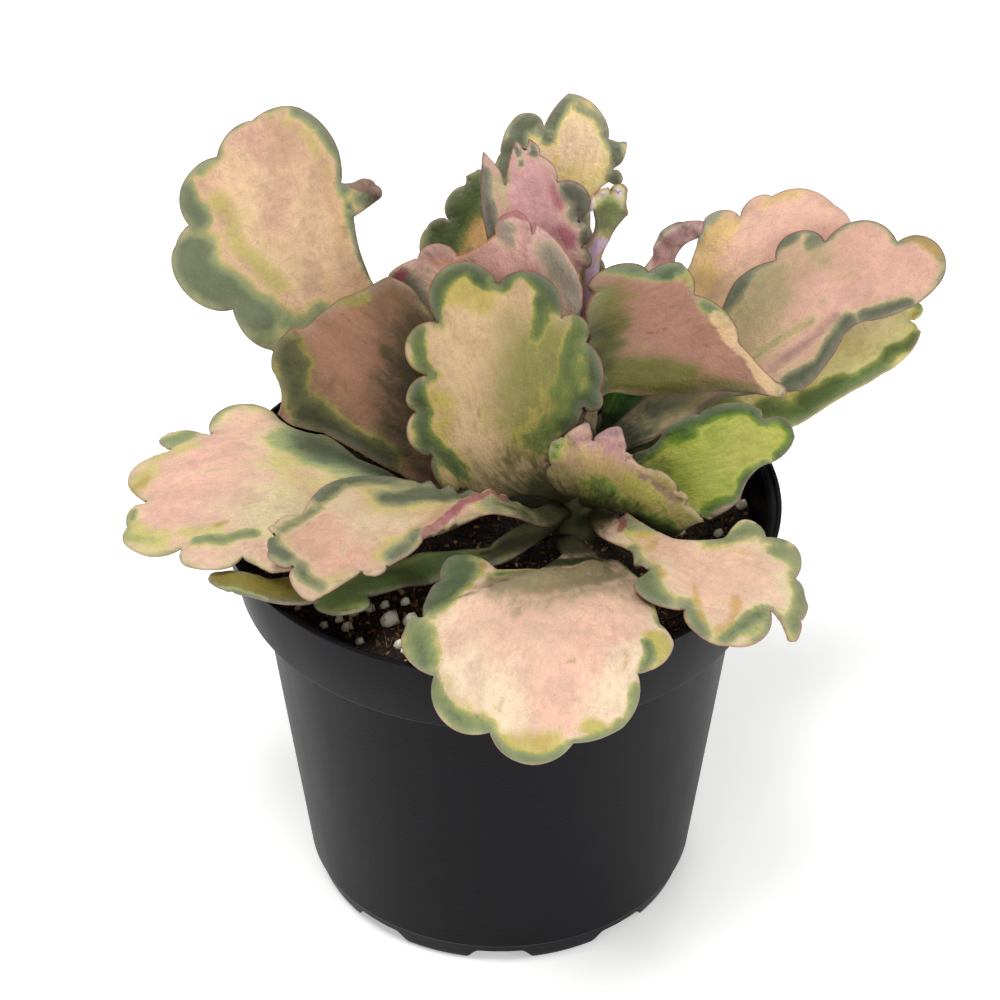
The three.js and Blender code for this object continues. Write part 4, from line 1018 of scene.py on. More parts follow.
# Each stroke: kind, strength, reach in mm and the flat points (along, out) that it runs through. "dark" strokes
# are painted shade in creases, under folds and near the crown, and some "olive" strokes are painted shade
# beyond folds and at leaf bases
leafPaint = {
    "front": {
        "palette": {
            "body": "#eac5ab", "pink": "#f0bda7", "cream": "#f0d9b9", "lime": "#bcb14e", "green": "#8c9761",
            "deep": "#4d5e41", "olive": "#8a7f5e", "ochre": "#b58258", "edge": "#b1927f",
        },
        "band": 1.4,
        "darkTo": 25,
        "bandStrength": 0.5,
        "strokes": [
            ("lift", 1.7, 2.4, (47, 23.5), (43, 17), (39, 13), (35.5, 9.5), (30.5, 5), (24, 0), (18, -3)),
            # painted shade: a dark crease along the fold
            ("dark", 0.75, 0.35, (46.5, 23.5), (44.5, 20.5), (42, 17), (38.5, 13.2), (34.5, 9.5)),
            ("green", 1.5, 3.4, (44, 24), (40, 22.5), (36, 21), (32, 20)),
            ("lime", 0.9, 1.4, (39, 17.5), (36, 18.5), (33, 16.5)),
            ("ochre", 0.6, 1.8, (39, 15.5), (37, 14.5), (35, 13)),
            # painted shade beyond the fold, where the blade turns away from the light
            ("olive", 1.15, 2.4, (34, 12.5), (31.5, 8.5), (30, 5), (26.5, 1.5), (21, -3), (17, -5)),
            ("green", 1, 1.4, (32, 12.5), (29.5, 8), (26, 4)),
            ("green", 1.5, 3.5, (28, 22), (34, 23.5), (40, 25.5)),
            ("green", 1, 3, (22, 12), (25, 17), (27, 20)),
            # painted shade: the neck in dark green and dark, under the crown
            ("green", 0.9, 2.5, (14, -2), (17, 5), (20, 9)),
            ("dark", 1.2, 3, (12, -4), (15, 1), (18, 6)),
            ("green", 0.95, 3.2, (50, 24.5), (54, 23.5), (57, 22.5)),
            ("lime", 0.9, 0.9, (50, 27), (54, 27), (57, 25.5)),
            ("green", 0.95, 1.8, (60, 20.5), (63.5, 18.5), (66.5, 15.5), (67.5, 12.5), (67, 10)),
            ("lime", 0.5, 1.6, (61, 17.5), (64, 15.5), (65.5, 12)),
            ("green", 0.95, 1.5, (67.5, 9), (70, 7.5), (72, 4.5), (73, 1), (72.5, -2), (70.5, -5)),
            ("lime", 0.75, 3, (70.5, 4), (69.5, 0), (70, -3)),
            ("ochre", 0.5, 3, (68.5, 3), (69.5, -1)),
            ("green", 0.9, 1.5, (69, -7), (68.5, -10), (66.5, -13), (63.5, -15.5)),
            ("lime", 0.95, 1.8, (65, -9.5), (66, -12)),
            ("green", 0.8, 1.8, (55.5, -17), (59, -17.8), (62.5, -16.5)),
            ("lime", 1.25, 2.2, (44, -19), (48, -20.5), (52.5, -20)),
            ("green", 1, 1.2, (45.5, -17), (49, -18), (52, -17.5)),
            ("green", 0.75, 1.4, (47.5, -22.5), (52, -22), (54, -19.5)),
            ("green", 0.9, 1.7, (35.5, -18.5), (39, -20)),
            ("olive", 0.6, 5, (20, -4), (24, -10), (28, -14), (33, -15)),
            ("olive", 0.95, 3.4, (38, 12), (35, 7), (31, 2), (26, -3), (22, -7)),
            ("olive", 0.5, 4.5, (40, 7), (35, 0), (30, -7)),
            ("olive", 0.45, 4, (19, 4), (24, 9), (27, 11)),
            ("ochre", 0.5, 2.6, (30, 16), (28.5, 13)),
            ("ochre", 0.55, 1.2, (49, -13.5), (52, -14.5), (53.5, -13)),
            ("ochre", 0.45, 0.9, (54, -3), (54, -4.5)),
            ("ochre", 0.45, 1.5, (29.5, 3.5), (32, 2.5)),
            ("ochre", 0.55, 1.8, (35, 3.5), (36, 0.5)),
            ("ochre", 0.6, 1.2, (36.5, 8), (38.5, 5)),
            ("ochre", 0.5, 1.2, (29, 9.5), (31, 6.5)),
            ("cream", 0.8, 4.5, (58, 14), (62, 8), (66, 5)),
            ("cream", 0.8, 4, (50, -15), (57, -13), (62, -11)),
            ("pink", 0.7, 7, (46, -9), (53, -6), (63, -2)),
            ("pink", 0.35, 6, (50, 9), (44, 3)),
        ],
    },
    "front_right": {
        "palette": {
            "body": "#e5c3a6", "pink": "#e8b99f", "cream": "#dfd0a7", "lime": "#c4bb5b", "green": "#969a6b",
            "deep": "#5f6d49", "olive": "#b3965d", "ochre": "#c59c47", "rose": "#a75e5a", "edge": "#b27b6f",
        },
        "band": 1.3,
        "bandStrength": 0.6,
        "strokes": [
            ("rose", 1, 1.4, (7, -3), (11, -3.5), (14, -2)),
            ("green", 0.9, 2.2, (14, -4), (18, -4), (21, -5)),
            ("green", 0.9, 1.6, (21, 2), (25, 4.5)),
            ("ochre", 0.8, 1.7, (20, -2), (24, -2), (24.5, 0.5)),
            ("green", 1.15, 3, (28.5, 7), (31.5, 9.5), (34.5, 11.5)),
            ("ochre", 0.75, 0.9, (27, 2.5), (29.5, 4), (33, 6)),
            ("green", 1.05, 1.5, (38.5, 10), (41, 13.5), (43, 15.5)),
            ("green", 1.05, 1.6, (51, 6.5), (49.5, 11), (47, 15)),
            ("ochre", 0.8, 0.9, (38, 5), (40, 9), (42, 12.5)),
            ("ochre", 0.9, 1.1, (45.5, 5.5), (47, 8.5), (46.5, 12), (45, 14)),
            ("green", 1, 2.2, (35, -7), (40, -10.5), (44, -13), (48, -12)),
            ("green", 0.85, 2.6, (49, -9), (52, -9), (54.5, -6.5)),
            ("ochre", 0.5, 1.5, (35, -4.5), (40, -6), (44, -6.5)),
            ("green", 0.95, 2, (55, -3), (57, 0), (57, 4), (58, 7)),
            ("cream", 0.8, 1.2, (52, -2), (54.5, 2), (55.5, 5)),
            ("pink", 0.6, 6, (36, 2), (42, 4), (30, -2)),
        ],
    },
    "left_low": {
        "palette": {
            "body": "#4e573e", "pink": "#5e604f", "cream": "#8e815e", "lime": "#9ea04c", "green": "#9aae66",
            "deep": "#6e8951", "olive": "#8d8136", "ochre": "#6b5533", "edge": "#8f7579", "under": "#737752",
        },
        "band": 0.8,
        "strokes": [
            ("olive", 1, 5, (72, 0), (62, -1), (56, 0)),
            ("green", 1.4, 3.5, (52, -6), (44, -3), (34, -2), (24, 0)),
            ("green", 0.8, 3, (48, -8), (40, -5)),
            ("cream", 0.6, 2, (73, -1)),
        ],
    },
    "left_wide": {
        "palette": {
            "body": "#f3ccb0", "pink": "#f5c0ab", "cream": "#f1dfaf", "lime": "#d8cc7d", "green": "#a4ad77",
            "deep": "#67775b", "olive": "#9b9061", "ochre": "#b9983e", "edge": "#af8e77",
        },
        "band": 1.2,
        "darkTo": 44,
        "bandStrength": 0.5,
        "strokes": [
            ("green", 1.1, 5, (30, 4), (37, 7), (43, 10), (47, 14)),
            ("lime", 0.6, 6, (48, 2), (50, 8), (45, -3)),
            ("olive", 0.7, 3, (42, 13), (46, 18), (49, 22)),
            ("cream", 0.9, 7, (53, -7), (48, -12), (58, -12)),
            ("pink", 0.8, 7, (62, 14), (68, 6), (74, 0), (72, 8)),
            ("pink", 0.5, 5, (55, 18), (60, 10)),
            ("green", 1, 2, (50, 25), (55, 27), (60, 25.5), (62, 22)),
            ("green", 0.9, 1.9, (64, 19.5), (69, 20.5), (73, 19)),
            ("lime", 0.7, 1.6, (64, 16.5), (70, 16.5), (72, 15)),
            ("lime", 0.95, 2.6, (74, 13), (78, 11), (80, 7)),
            ("ochre", 0.75, 1.8, (75, 11.5), (78.5, 9.5)),
            ("lime", 0.9, 2.6, (83, 0), (83, -4), (79, -8)),
            ("green", 0.6, 1.8, (84, 1), (84, -4), (80, -8)),
            ("green", 1, 0.9, (80.5, 2.5), (81.5, 1)),
            ("green", 1, 1.8, (73, -13), (69, -15), (65, -15), (62, -16)),
            ("lime", 0.7, 1.8, (74, -9), (68, -11)),
            ("ochre", 0.7, 1.2, (68, -10), (66, -10)),
            ("green", 0.6, 1.5, (58, -19), (54, -20)),
        ],
    },
    "left_front": {
        "palette": {
            "body": "#d7b094", "pink": "#d9a890", "cream": "#d6c19c", "lime": "#c6b36d", "green": "#9d9a6f",
            "deep": "#535d48", "olive": "#9f8f65", "ochre": "#a98049", "rose": "#9a4f5b", "edge": "#b58375",
        },
        "band": 1.1,
        "darkTo": 27,
        "oliveTo": 32,
        "bandStrength": 0.5,
        "strokes": [
            ("green", 1.3, 2, (27, 4), (33, 8), (40, 10.5), (47, 11.5), (52, 9.5)),
            ("green", 0.9, 2.4, (26, 2.5), (32, 5.5), (37, 7.5)),
            ("lime", 0.7, 3, (32, 1), (38, 2), (44, 4)),
            ("cream", 0.8, 4, (40, 0), (48, 5), (46, -3)),
            ("green", 0.9, 1.3, (54, 7), (58, 5), (62, 3.5)),
            ("green", 1.25, 1.9, (65, 2), (65.5, -1), (64, -3.5)),
            ("lime", 0.5, 1.5, (62, 1), (62.5, -2)),
            ("green", 1.05, 1.7, (62, -6), (62.5, -9), (60.5, -11.5)),
            ("lime", 0.5, 1.3, (58, -11), (54, -9.5)),
            ("green", 0.7, 0.8, (50, -9.5)),
            ("green", 1.1, 1.7, (45, -9), (42, -7.5), (39, -5.5)),
            ("lime", 0.7, 1.6, (47.5, -8), (44, -5.5)),
            ("pink", 0.8, 6, (57, -2), (53, -6), (50, -1)),
            (
                "rose", 1.15, 0.7,
                (38, -6.5), (34, -5), (30.5, -3), (27.5, -0.5), (24, 1), (21, 1.7), (18, 1.5),
            ),
            ("lift", 1.3, 1, (38, -6), (34, -4.7), (30.5, -2.7), (27.5, -0.3), (24, 1.2), (20, 1.7)),
            ("pink", 1.1, 1.3, (32, -5.5), (28.5, -3.5), (25.5, -1.5), (22, 0)),
            ("olive", 1.3, 1.6, (29, -6), (25.5, -4), (21, -2.5)),
            ("green", 1.3, 2.2, (41, 5), (36, 4), (31, 3), (26, 3)),
            ("ochre", 0.6, 1, (38, -4), (34, -2.5), (31, 0)),
            ("green", 0.9, 3, (22, -1), (14, 0), (8, 0)),
        ],
        "ruffles": [(1, 14, 34, 0.9, 3.4), (-1, 28, 40, 0.5, 3)],
    },
    "centre": {
        "palette": {
            "body": "#bb9f72", "pink": "#c4a380", "cream": "#caae82", "lime": "#b5a351", "green": "#6b783a",
            "deep": "#3f4c32", "olive": "#868343", "ochre": "#826132", "edge": "#9c6c53",
        },
        "band": 1.3,
        "darkTo": 21,
        "bandStrength": 0.7,
        "strokes": [
            ("green", 1.15, 1.6, (43, -12.5), (46, -12.3), (49, -11), (51, -8), (51.5, -5), (49.5, -1.5)),
            ("lime", 1, 2.4, (48, -9.5), (48, -6), (45.5, -3.5)),
            ("lime", 0.8, 1.2, (44.5, -5), (43.5, -3.5)),
            ("green", 1.35, 1, (49, -4), (47.5, -2)),
            ("green", 1.25, 2.2, (48, 1), (50.5, 3.5), (50, 6.5), (47, 9), (43.5, 10.5), (42, 10.5)),
            ("green", 0.9, 1.8, (44, 8), (41, 7.5), (37.5, 6)),
            ("green", 0.95, 1.7, (40.5, -16), (38, -16.3), (35, -16), (32.5, -14.5)),
            ("green", 1.2, 1.9, (31, -17.5), (28.5, -18.2), (26.5, -17.3)),
            ("lime", 0.8, 2, (28.5, -14.5), (26, -13)),
            ("green", 1.2, 1.8, (24.5, -16.5), (22, -17.8), (19.5, -17), (18, -15.5)),
            ("lime", 0.85, 1.8, (19.5, -14), (22.5, -13)),
            ("ochre", 0.5, 0.9, (20.5, -13.5), (25, -12)),
            ("green", 1.1, 1.6, (16.5, -13.5), (15, -12)),
            ("green", 0.9, 1.7, (39.5, 14), (37, 14.5)),
            ("green", 1.35, 2.7, (36, 17), (33, 17), (29.5, 17), (26, 16.5), (24.5, 15.5)),
            ("green", 0.9, 2, (36, 13.5), (32, 11.5), (28.5, 10.5)),
            ("green", 0.8, 3, (27, 12), (22, 10)),
            ("green", 1.25, 2.2, (24, 12.5), (21, 11.5), (19, 9.5)),
            ("olive", 1.15, 7.5, (32, 8), (26, 7.5), (19, 6)),
            ("olive", 0.7, 4, (34, 2), (28, 0), (22, -1)),
            ("green", 0.72, 4.5, (30, 11), (25, 9.5), (20, 7.5), (16, 4)),
            ("cream", 0.5, 5, (42, 1), (38, -8), (45, 3)),
            ("pink", 0.9, 5, (36, -11), (31, -10), (27, -8)),
            ("lime", 0.6, 1.4, (25, -5.5), (23, -5)),
            ("ochre", 0.5, 1, (25.5, -6)),
            ("ochre", 0.8, 0.35, (24, -6.5), (20.5, -8.2)),
            ("ochre", 0.5, 4, (14, -4), (11, -1), (14, 3)),
            ("dark", 0.7, 3.5, (9, -8), (6, -3), (7, 1)),
            ("cream", 0.85, 3.5, (45, -5.5), (37, -9), (27, -9.5), (20, -8)),
            ("olive", 0.5, 4, (38, 1), (32, 1.5), (26, 2)),
        ],
    },
    "left_mid": {
        "palette": {
            "body": "#826045", "pink": "#a87b62", "cream": "#877148", "lime": "#98903e", "green": "#5c5c36",
            "deep": "#32361c", "olive": "#44391c", "ochre": "#72542b", "edge": "#92724e", "under": "#a28951",
        },
        "band": 1,
        "darkTo": 34,
        "bandStrength": 0.3,
        "strokes": [
            ("lime", 1.2, 0.9, (58, 6), (55, 9), (52.5, 12), (51, 14.5)),
            ("lime", 1.1, 1.1, (62, -1), (60.5, -6), (57, -10)),
            ("green", 1, 3, (58, -4), (55, -8), (51, -11)),
            ("green", 1.2, 3, (47, -12.5), (42, -12), (36, -11), (30, -9)),
            ("cream", 0.7, 1.8, (56, -3), (54, -7)),
            ("olive", 0.95, 7, (40, 14), (34, 9), (28, 6), (20, 3)),
            ("olive", 0.5, 6, (30, -2), (22, -2)),
            ("pink", 0.9, 6, (54, 3), (50, 7), (47, 1)),
            ("pink", 0.5, 6, (44, 9), (42, 2)),
            ("dark", 0.75, 8, (34, 6), (26, -2), (18, -2), (12, 0)),
        ],
    },
    "left_tall": {
        "palette": {
            "body": "#d2ac8a", "pink": "#d7a792", "cream": "#e3c397", "lime": "#baad63", "green": "#959a6c",
            "deep": "#646f54", "olive": "#d5aa70", "ochre": "#ad8351", "rose": "#77504e", "edge": "#957b65",
        },
        "band": 1,
        "bandStrength": 0.45,
        "strokes": [
            ("green", 1.5, 3.6, (58, -15.5), (62, -18), (66, -21), (70, -22.5), (73, -21)),
            ("green", 0.7, 2.5, (68, -26), (63, -22)),
            ("lime", 0.7, 1, (62, -23.5), (66, -26), (70, -27.5)),
            ("green", 1.35, 2.4, (78, -17), (81, -17.8), (84, -17.5)),
            ("green", 0.8, 1.6, (86.5, -13), (88, -9)),
            ("lime", 0.75, 1.9, (80, -12), (75, -11.5), (70, -13), (65, -10.5), (60, -9)),
            ("cream", 0.8, 3, (80, -9), (72, -9), (66, -8), (60, -5)),
            ("green", 0.95, 2.6, (54.5, -17.5), (51, -16), (48, -14)),
            ("green", 0.85, 2.4, (54, -11.5), (52.5, -8), (51.5, -5)),
            ("green", 1.2, 1.3, (89, 8.5), (85, 11), (81, 12.2), (76, 12), (71, 10.5)),
            ("lime", 0.5, 1.2, (88, 5.5), (83, 8.5), (76, 8.5)),
            ("green", 1.2, 0.9, (68, 10), (62, 8.7), (56, 7.7), (50, 6.8)),
            ("green", 0.9, 1, (91.5, 3), (91, 6)),
            ("lime", 0.7, 1, (90, 3.5)),
            ("green", 1.3, 1.6, (68, 12.5), (67.5, 14.5)),
            ("rose", 1.5, 1.6, (68, 16.5), (70, 15.5), (71.5, 13.5)),
            ("dark", 0.55, 1.5, (66, 12.5), (67, 14.5)),
            ("pink", 1, 6, (89, -5), (85, -6)),
            ("cream", 0.6, 5, (70, 3), (60, 2)),
            ("olive", 0.35, 6, (52, 0), (44, 0), (34, 0)),
            ("ochre", 0.5, 2.6, (74, 8), (66, 6), (58, 4.5), (48, 3.5)),
            ("cream", 0.7, 5, (86, -8), (80, -6)),
        ],
    },
    "right_lime": {
        "palette": {
            "body": "#99a43f", "pink": "#a8ab4e", "cream": "#b4b256", "lime": "#99a632", "green": "#637e1d",
            "deep": "#2f4915", "olive": "#74811b", "ochre": "#978f3f", "rose": "#987a66", "edge": "#9e8975",
        },
        "band": 1.4,
        "bandStrength": 1,
        "strokes": [
            ("green", 1.5, 1.7, (9, -5.5), (13, -7), (17, -8), (22, -8.5), (27, -8.5), (31, -8)),
            ("green", 0.9, 1.5, (17, -6), (21, -5.5)),
            ("green", 1.3, 1.6, (33, -6), (36.5, -4.5), (39.5, -1.5), (39.5, 1.5), (36, 4)),
            ("green", 1, 1.4, (32, 5), (29, 6), (25.5, 8.5), (22, 9), (18, 9.5)),
            ("rose", 0.9, 0.9, (33, 5.8), (28, 7.8), (24, 10), (19, 10.8)),
            ("cream", 0.8, 4, (30, -2), (34, 0), (28, 2)),
            ("olive", 0.6, 5, (8, 0), (14, 2)),
        ],
    },
    "right_small": {
        "palette": {
            "body": "#b5a862", "pink": "#d29fa0", "cream": "#d4ba79", "lime": "#bebb5b", "green": "#96a854",
            "deep": "#536637", "olive": "#91954b", "ochre": "#be9f52", "rose": "#936f74", "edge": "#ac857e",
        },
        "band": 0.9,
        "bandStrength": 0.3,
        "strokes": [
            ("pink", 1.3, 3.4, (25, -2), (22, -2.5), (21, 0.5)),
            ("pink", 1, 2, (24, -7), (21.5, -6)),
            ("rose", 0.8, 1.2, (26, -7.5), (25, -3.5), (26, 0.5)),
            ("green", 0.9, 1.2, (21, -10.5), (19, -11), (16.5, -11)),
            ("green", 1.05, 3, (11, -1), (9, 3), (8, 8)),
            ("olive", 0.8, 3, (10, -5), (7, -3)),
            ("green", 1.2, 1.8, (9, 9), (9.5, 12), (10, 15)),
            ("cream", 0.7, 3, (18, -4), (17, 2), (17, 7)),
            ("lime", 0.8, 3, (15, 5), (14, 9)),
            ("green", 0.8, 0.5, (13, 13), (14.5, 10)),
            ("green", 0.8, 0.5, (11.5, 14), (12.5, 11)),
            ("rose", 0.8, 0.9, (18.5, 6), (18, 9), (17, 12), (16, 14)),
        ],
    },
    "right_curled": {
        "palette": {
            "body": "#a17963", "pink": "#a77764", "cream": "#b29172", "lime": "#a7aa4f", "green": "#73855c",
            "deep": "#4b5c3b", "olive": "#676727", "ochre": "#e8c592", "rose": "#734135", "edge": "#935744",
        },
        "band": 0.8,
        "oliveTo": 30,
        "bandStrength": 0.5,
        "strokes": [
            # painted shade: dark olive at the base, on the side towards the crown, and along the midrib
            ("olive", 1.2, 4, (19, -2), (20, -8), (21, -15)),
            ("dark", 0.62, 3, (20, -1), (21, -6), (21.5, -11)),
            ("olive", 1.1, 3.4, (20, -1), (27, 0), (36, 0.5)),
            ("olive", 0.75, 1.4, (36, 0), (43, 1), (50, 0.5)),
            ("green", 1, 1.6, (24, -21.5), (28, -20.5), (31, -20.5), (34, -21)),
            ("green", 1.3, 0.9, (29.5, -19.5), (31.5, -19.5)),
            ("lime", 0.9, 1.1, (36, -20), (38, -17.5)),
            ("green", 0.9, 1.2, (39.5, -14.5), (42, -12)),
            ("lime", 0.9, 0.9, (39, -17), (41, -14.5)),
            ("ochre", 1.7, 1.1, (41.5, -12), (44.5, -8.5), (47.5, -5.4), (50.5, -2.6), (54, -0.8)),
            ("pink", 0.6, 3.5, (27, -17), (33, -17), (37, -14)),
            ("lime", 0.8, 0.8, (41, -15), (43.5, -11)),
            ("pink", 0.9, 5, (34, -9), (40, -7), (30, -13)),
            ("rose", 0.5, 0.5, (26, -7), (29, -8.5), (31.5, -9.3)),
            ("rose", 0.5, 0.5, (38, -7), (41, -6)),
            ("rose", 0.45, 0.4, (36, -9), (38, -9.5)),
            ("green", 0.8, 1, (54, -2.5), (55, -0.5)),
        ],
    },
    "right_ear": {
        "palette": {
            "body": "#ab817c", "pink": "#c89a94", "cream": "#dbbeb0", "lime": "#a3ac76", "green": "#637b5c",
            "deep": "#3b513c", "ochre": "#be9479", "edge": "#995b59", "under": "#b18c82",
        },
        "band": 0.8,
        "bandStrength": 0.6,
        "darkTo": 6,
        "strokes": [
            ("green", 0.8, 1.4, (34, -3), (30, -5), (25, -5)),
            ("pink", 1, 2.4, (26, 1), (18, 0), (12, 0)),
        ],
        "ruffles": [(-1, 14, 34, 0.7, 4), (1, 16, 34, 0.5, 5)],
    },
    "right_large": {
        "palette": {
            "body": "#cda98c", "pink": "#e0ab9a", "cream": "#d0b48c", "lime": "#b5a76d", "green": "#848363",
            "deep": "#4e533d", "olive": "#a5946b", "ochre": "#b28d3e", "rose": "#9b7570", "edge": "#8a5f54",
        },
        "band": 1.1,
        "bandStrength": 0.8,
        "strokes": [
            ("olive", 1, 4.5, (6, 0), (14, -1), (22, -3), (30, -5)),
            ("green", 0.75, 3.5, (8, 1), (16, -1), (24, -3)),
            ("cream", 0.7, 0.9, (6, 0), (14, 0.5), (22, 0.5), (30, -0.5)),
            ("rose", 0.6, 1, (12, 3), (20, 3), (28, 2)),
            ("olive", 0.9, 6, (34, -7), (40, -10), (46, -13)),
            ("olive", 0.6, 5, (32, -3), (38, -5), (44, -7)),
            ("olive", 0.5, 6, (50, -12), (56, -12)),
            ("green", 1.35, 1.8, (34, -13), (37.5, -15), (42, -16.5)),
            ("green", 1.15, 1.4, (44, -17), (49, -19), (54, -18.5)),
            ("green", 1, 1.4, (56, -16), (60, -17.3), (65, -17), (68.5, -15)),
            ("ochre", 0.8, 1.5, (71, -11.5), (74.5, -9), (76.5, -5.5)),
            ("green", 0.7, 1.4, (76, -7), (77, -4)),
            ("pink", 1.1, 6.5, (69, -7), (63, -9), (57, -7)),
            ("pink", 0.5, 5, (52, -10), (49, -4)),
            ("rose", 0.65, 1.3, (38, 1), (46, 0.5), (54, -0.5)),
            ("green", 0.6, 1, (34, -2.5), (42, -3), (50, -2.5)),
            ("green", 1.5, 1.8, (40, 6), (46, 6.5), (51, 4), (56, 2)),
            ("green", 1.4, 1.2, (59, 1.5), (64, 2), (68, 2)),
        ],
    },
    "right_back": {
        "palette": {
            "body": "#e9baa1", "pink": "#eebca7", "cream": "#ecc89d", "lime": "#dfbe75", "green": "#b1b597",
            "deep": "#6e7b60", "ochre": "#c19a4b", "edge": "#b58779", "olive": "#d3ad7d",
        },
        "band": 1.2,
        "bandStrength": 0.25,
        "strokes": [
            ("lime", 0.8, 3.5, (32, -5), (36, -7), (40, -7.5)),
            ("cream", 0.9, 5, (30, 0), (34, 3)),
            ("green", 0.9, 1.2, (38, -9.5), (41, -10.5), (43.5, -10)),
            ("ochre", 0.7, 1.2, (44, -6.5)),
            ("lime", 0.7, 1.3, (48, -5.5), (51, -5.5), (54.5, -6), (58, -5)),
            ("green", 0.7, 0.9, (49.5, -7), (54, -7), (60, -4.5), (62, -1)),
            ("green", 1, 2, (28, 6), (32, 9)),
            ("pink", 1, 6, (50, 0), (58, 2), (44, 2)),
        ],
    },
    "right_low": {
        # right_low's palette is painted paler than its own colours: painted light where right_large shades it
        "palette": {
            "body": "#f7ea9a", "pink": "#f7e6ab", "cream": "#f7f7b2", "lime": "#f0e271", "green": "#98a95b",
            "deep": "#637c41", "olive": "#cec15f", "edge": "#bf9f7f", "under": "#a2a26a",
        },
        "band": 1.6,
        "bandStrength": 0.8,
        "strokes": [
            ("green", 1.2, 1.6, (74, 1), (70, 2), (66, 2), (64, 3.5)),
            ("green", 1.5, 2.2, (62, 5.5), (56, 5.5), (51, 5.5), (46, 5.5)),
            ("lime", 0.9, 2.5, (43, 1), (47, 3), (44, 6)),
            ("green", 1.1, 3, (42, 7), (46, 8.5), (38, 4)),
            ("pink", 0.8, 3, (66, -5), (70, -6), (62, -5)),
            ("green", 1.1, 4, (10, 0), (20, 0), (30, 0)),
            ("lime", 0.7, 1.4, (75, -6.5), (73, -8)),
        ],
    },
    "back_top": {
        "palette": {
            "body": "#f7de97", "pink": "#f7d6b2", "cream": "#f7e99e", "lime": "#eece71", "green": "#a8aa81",
            "deep": "#5c6750", "ochre": "#c99a6e", "edge": "#a68b74", "olive": "#f2b569",
        },
        "band": 1.7,
        "bandStrength": 0.7,
        "strokes": [
            ("green", 1.5, 2.2, (33, -12), (37, -11.5), (41, -9), (42.5, -6.5)),
            ("green", 1.3, 1.5, (39, -4), (42.5, -3), (46, -1)),
            ("green", 1.4, 1.6, (39, 8), (37, 9.5), (33, 10), (31, 9)),
            ("green", 0.9, 1.2, (45, 2), (43.5, 5.5), (40, 7.5)),
            ("pink", 0.9, 4.5, (43, 2), (39, 5), (38, -3)),
            ("lime", 0.5, 1, (35.5, -2), (33, -3)),
            ("green", 1.2, 3, (10, 0), (16, 0), (22, 3)),
        ],
    },
    "centre_top": {
        "palette": {
            "body": "#d1a191", "pink": "#d49f9e", "cream": "#dab4a6", "lime": "#b8ab7b", "green": "#88846f",
            "deep": "#515140", "ochre": "#a2735c", "rose": "#aa5f6c", "edge": "#8c5954", "olive": "#ad877a",
        },
        "band": 0.9,
        "bandStrength": 0.5,
        "strokes": [
            ("green", 1.35, 2, (46, -8.5), (42, -9.5), (38, -10), (33, -11), (28, -11)),
            ("lime", 0.7, 1.3, (44, -5.5), (39, -6), (35, -7.5)),
            ("pink", 1, 4, (44, -1), (40, -1), (36, -1), (32, 0)),
            ("rose", 0.8, 1.3, (39.5, 3.5), (37.5, 4), (35.5, 4.5)),
            ("rose", 0.85, 1.7, (30, 4), (27.5, 5)),
            ("green", 1.45, 2, (37.5, 7), (35, 9), (32, 8.5)),
            ("green", 1.4, 1.6, (28.5, 8.5), (24, 8)),
            ("green", 1.1, 0.8, (44, 6), (41.5, 6.5)),
            ("green", 1.2, 0.45, (49, -0.5), (45, -0.5)),
            ("green", 1.1, 0.7, (48, 2.5), (46, 2.5)),
        ],
    },
    "left_back": {
        "palette": {
            "body": "#948f55", "pink": "#cbac71", "cream": "#ebbe7f", "lime": "#b39f4e", "green": "#7a884f",
            "deep": "#4e5f37", "edge": "#ad9280", "olive": "#9a8644", "ochre": "#af8854",
        },
        "band": 2.5,
        "bandStrength": 1.5,
        "strokes": [
            ("green", 1.5, 3.4, (23, -9), (28, -7), (32, -4), (36, 0)),
            ("cream", 1.3, 2, (28, 0), (25, 0), (30, 1)),
            ("green", 1.5, 1.5, (37, 4), (30, 3.5), (26, 4)),
        ],
    },
    "centre_back": {
        "palette": {
            "body": "#bc9284", "pink": "#d29f94", "cream": "#e6b9ae", "lime": "#d6b58d", "green": "#a99986",
            "deep": "#6c6955", "olive": "#b0885d", "ochre": "#cd8f6b", "rose": "#a74f5e", "edge": "#b36251",
        },
        "band": 0.9,
        "bandStrength": 0.2,
        "strokes": [
            ("green", 1.4, 3, (34, -24.5), (31, -24.5), (28.5, -23)),
            ("rose", 1.1, 0.9, (36.5, -24), (34, -27.3), (29, -26.5), (25, -24.5)),
            ("green", 0.8, 1, (36, -19.5)),
            ("ochre", 0.9, 0.8, (37.5, -18), (37, -14), (38.5, -8), (41, -5)),
            ("green", 0.8, 1.8, (41.5, -2), (42, -4), (39, -3)),
            ("rose", 1, 0.6, (43.5, -4), (44.5, -1.5), (43, 1.5)),
            ("green", 0.9, 2.6, (36, 4), (31, 6), (26, 7), (20, 7.5)),
            ("pink", 1, 4, (38, -1), (35, -5), (33, 1)),
            ("pink", 0.8, 2.5, (33, -17), (34, -12)),
            ("olive", 0.7, 2.6, (29.5, -8), (29, -3), (31, -13), (26, -18)),
            ("rose", 0.8, 1.3, (28, 10), (26, 9)),
        ],
    },
    "back_cup": {
        "palette": {
            "body": "#f7dcf7", "pink": "#f7d5f7", "cream": "#f7e1f7", "lime": "#f7d294", "green": "#d5d58e",
            "deep": "#7b8a59", "edge": "#ba746f", "olive": "#f7f7f7", "under": "#f7c9da",
        },
        "oliveTo": 6,
        "darkTo": 3,
        "band": 0.8,
        "bandStrength": 0.9,
        "strokes": [("green", 1.4, 3, (30, 0), (26, 0), (27, 3), (27, -3)), ("pink", 1, 2, (14, 0), (20, 0))],
    },
    "back_small": {
        "palette": {
            "body": "#6a7f48", "pink": "#7c8c56", "cream": "#8a9560", "lime": "#7d8b48", "green": "#58733c",
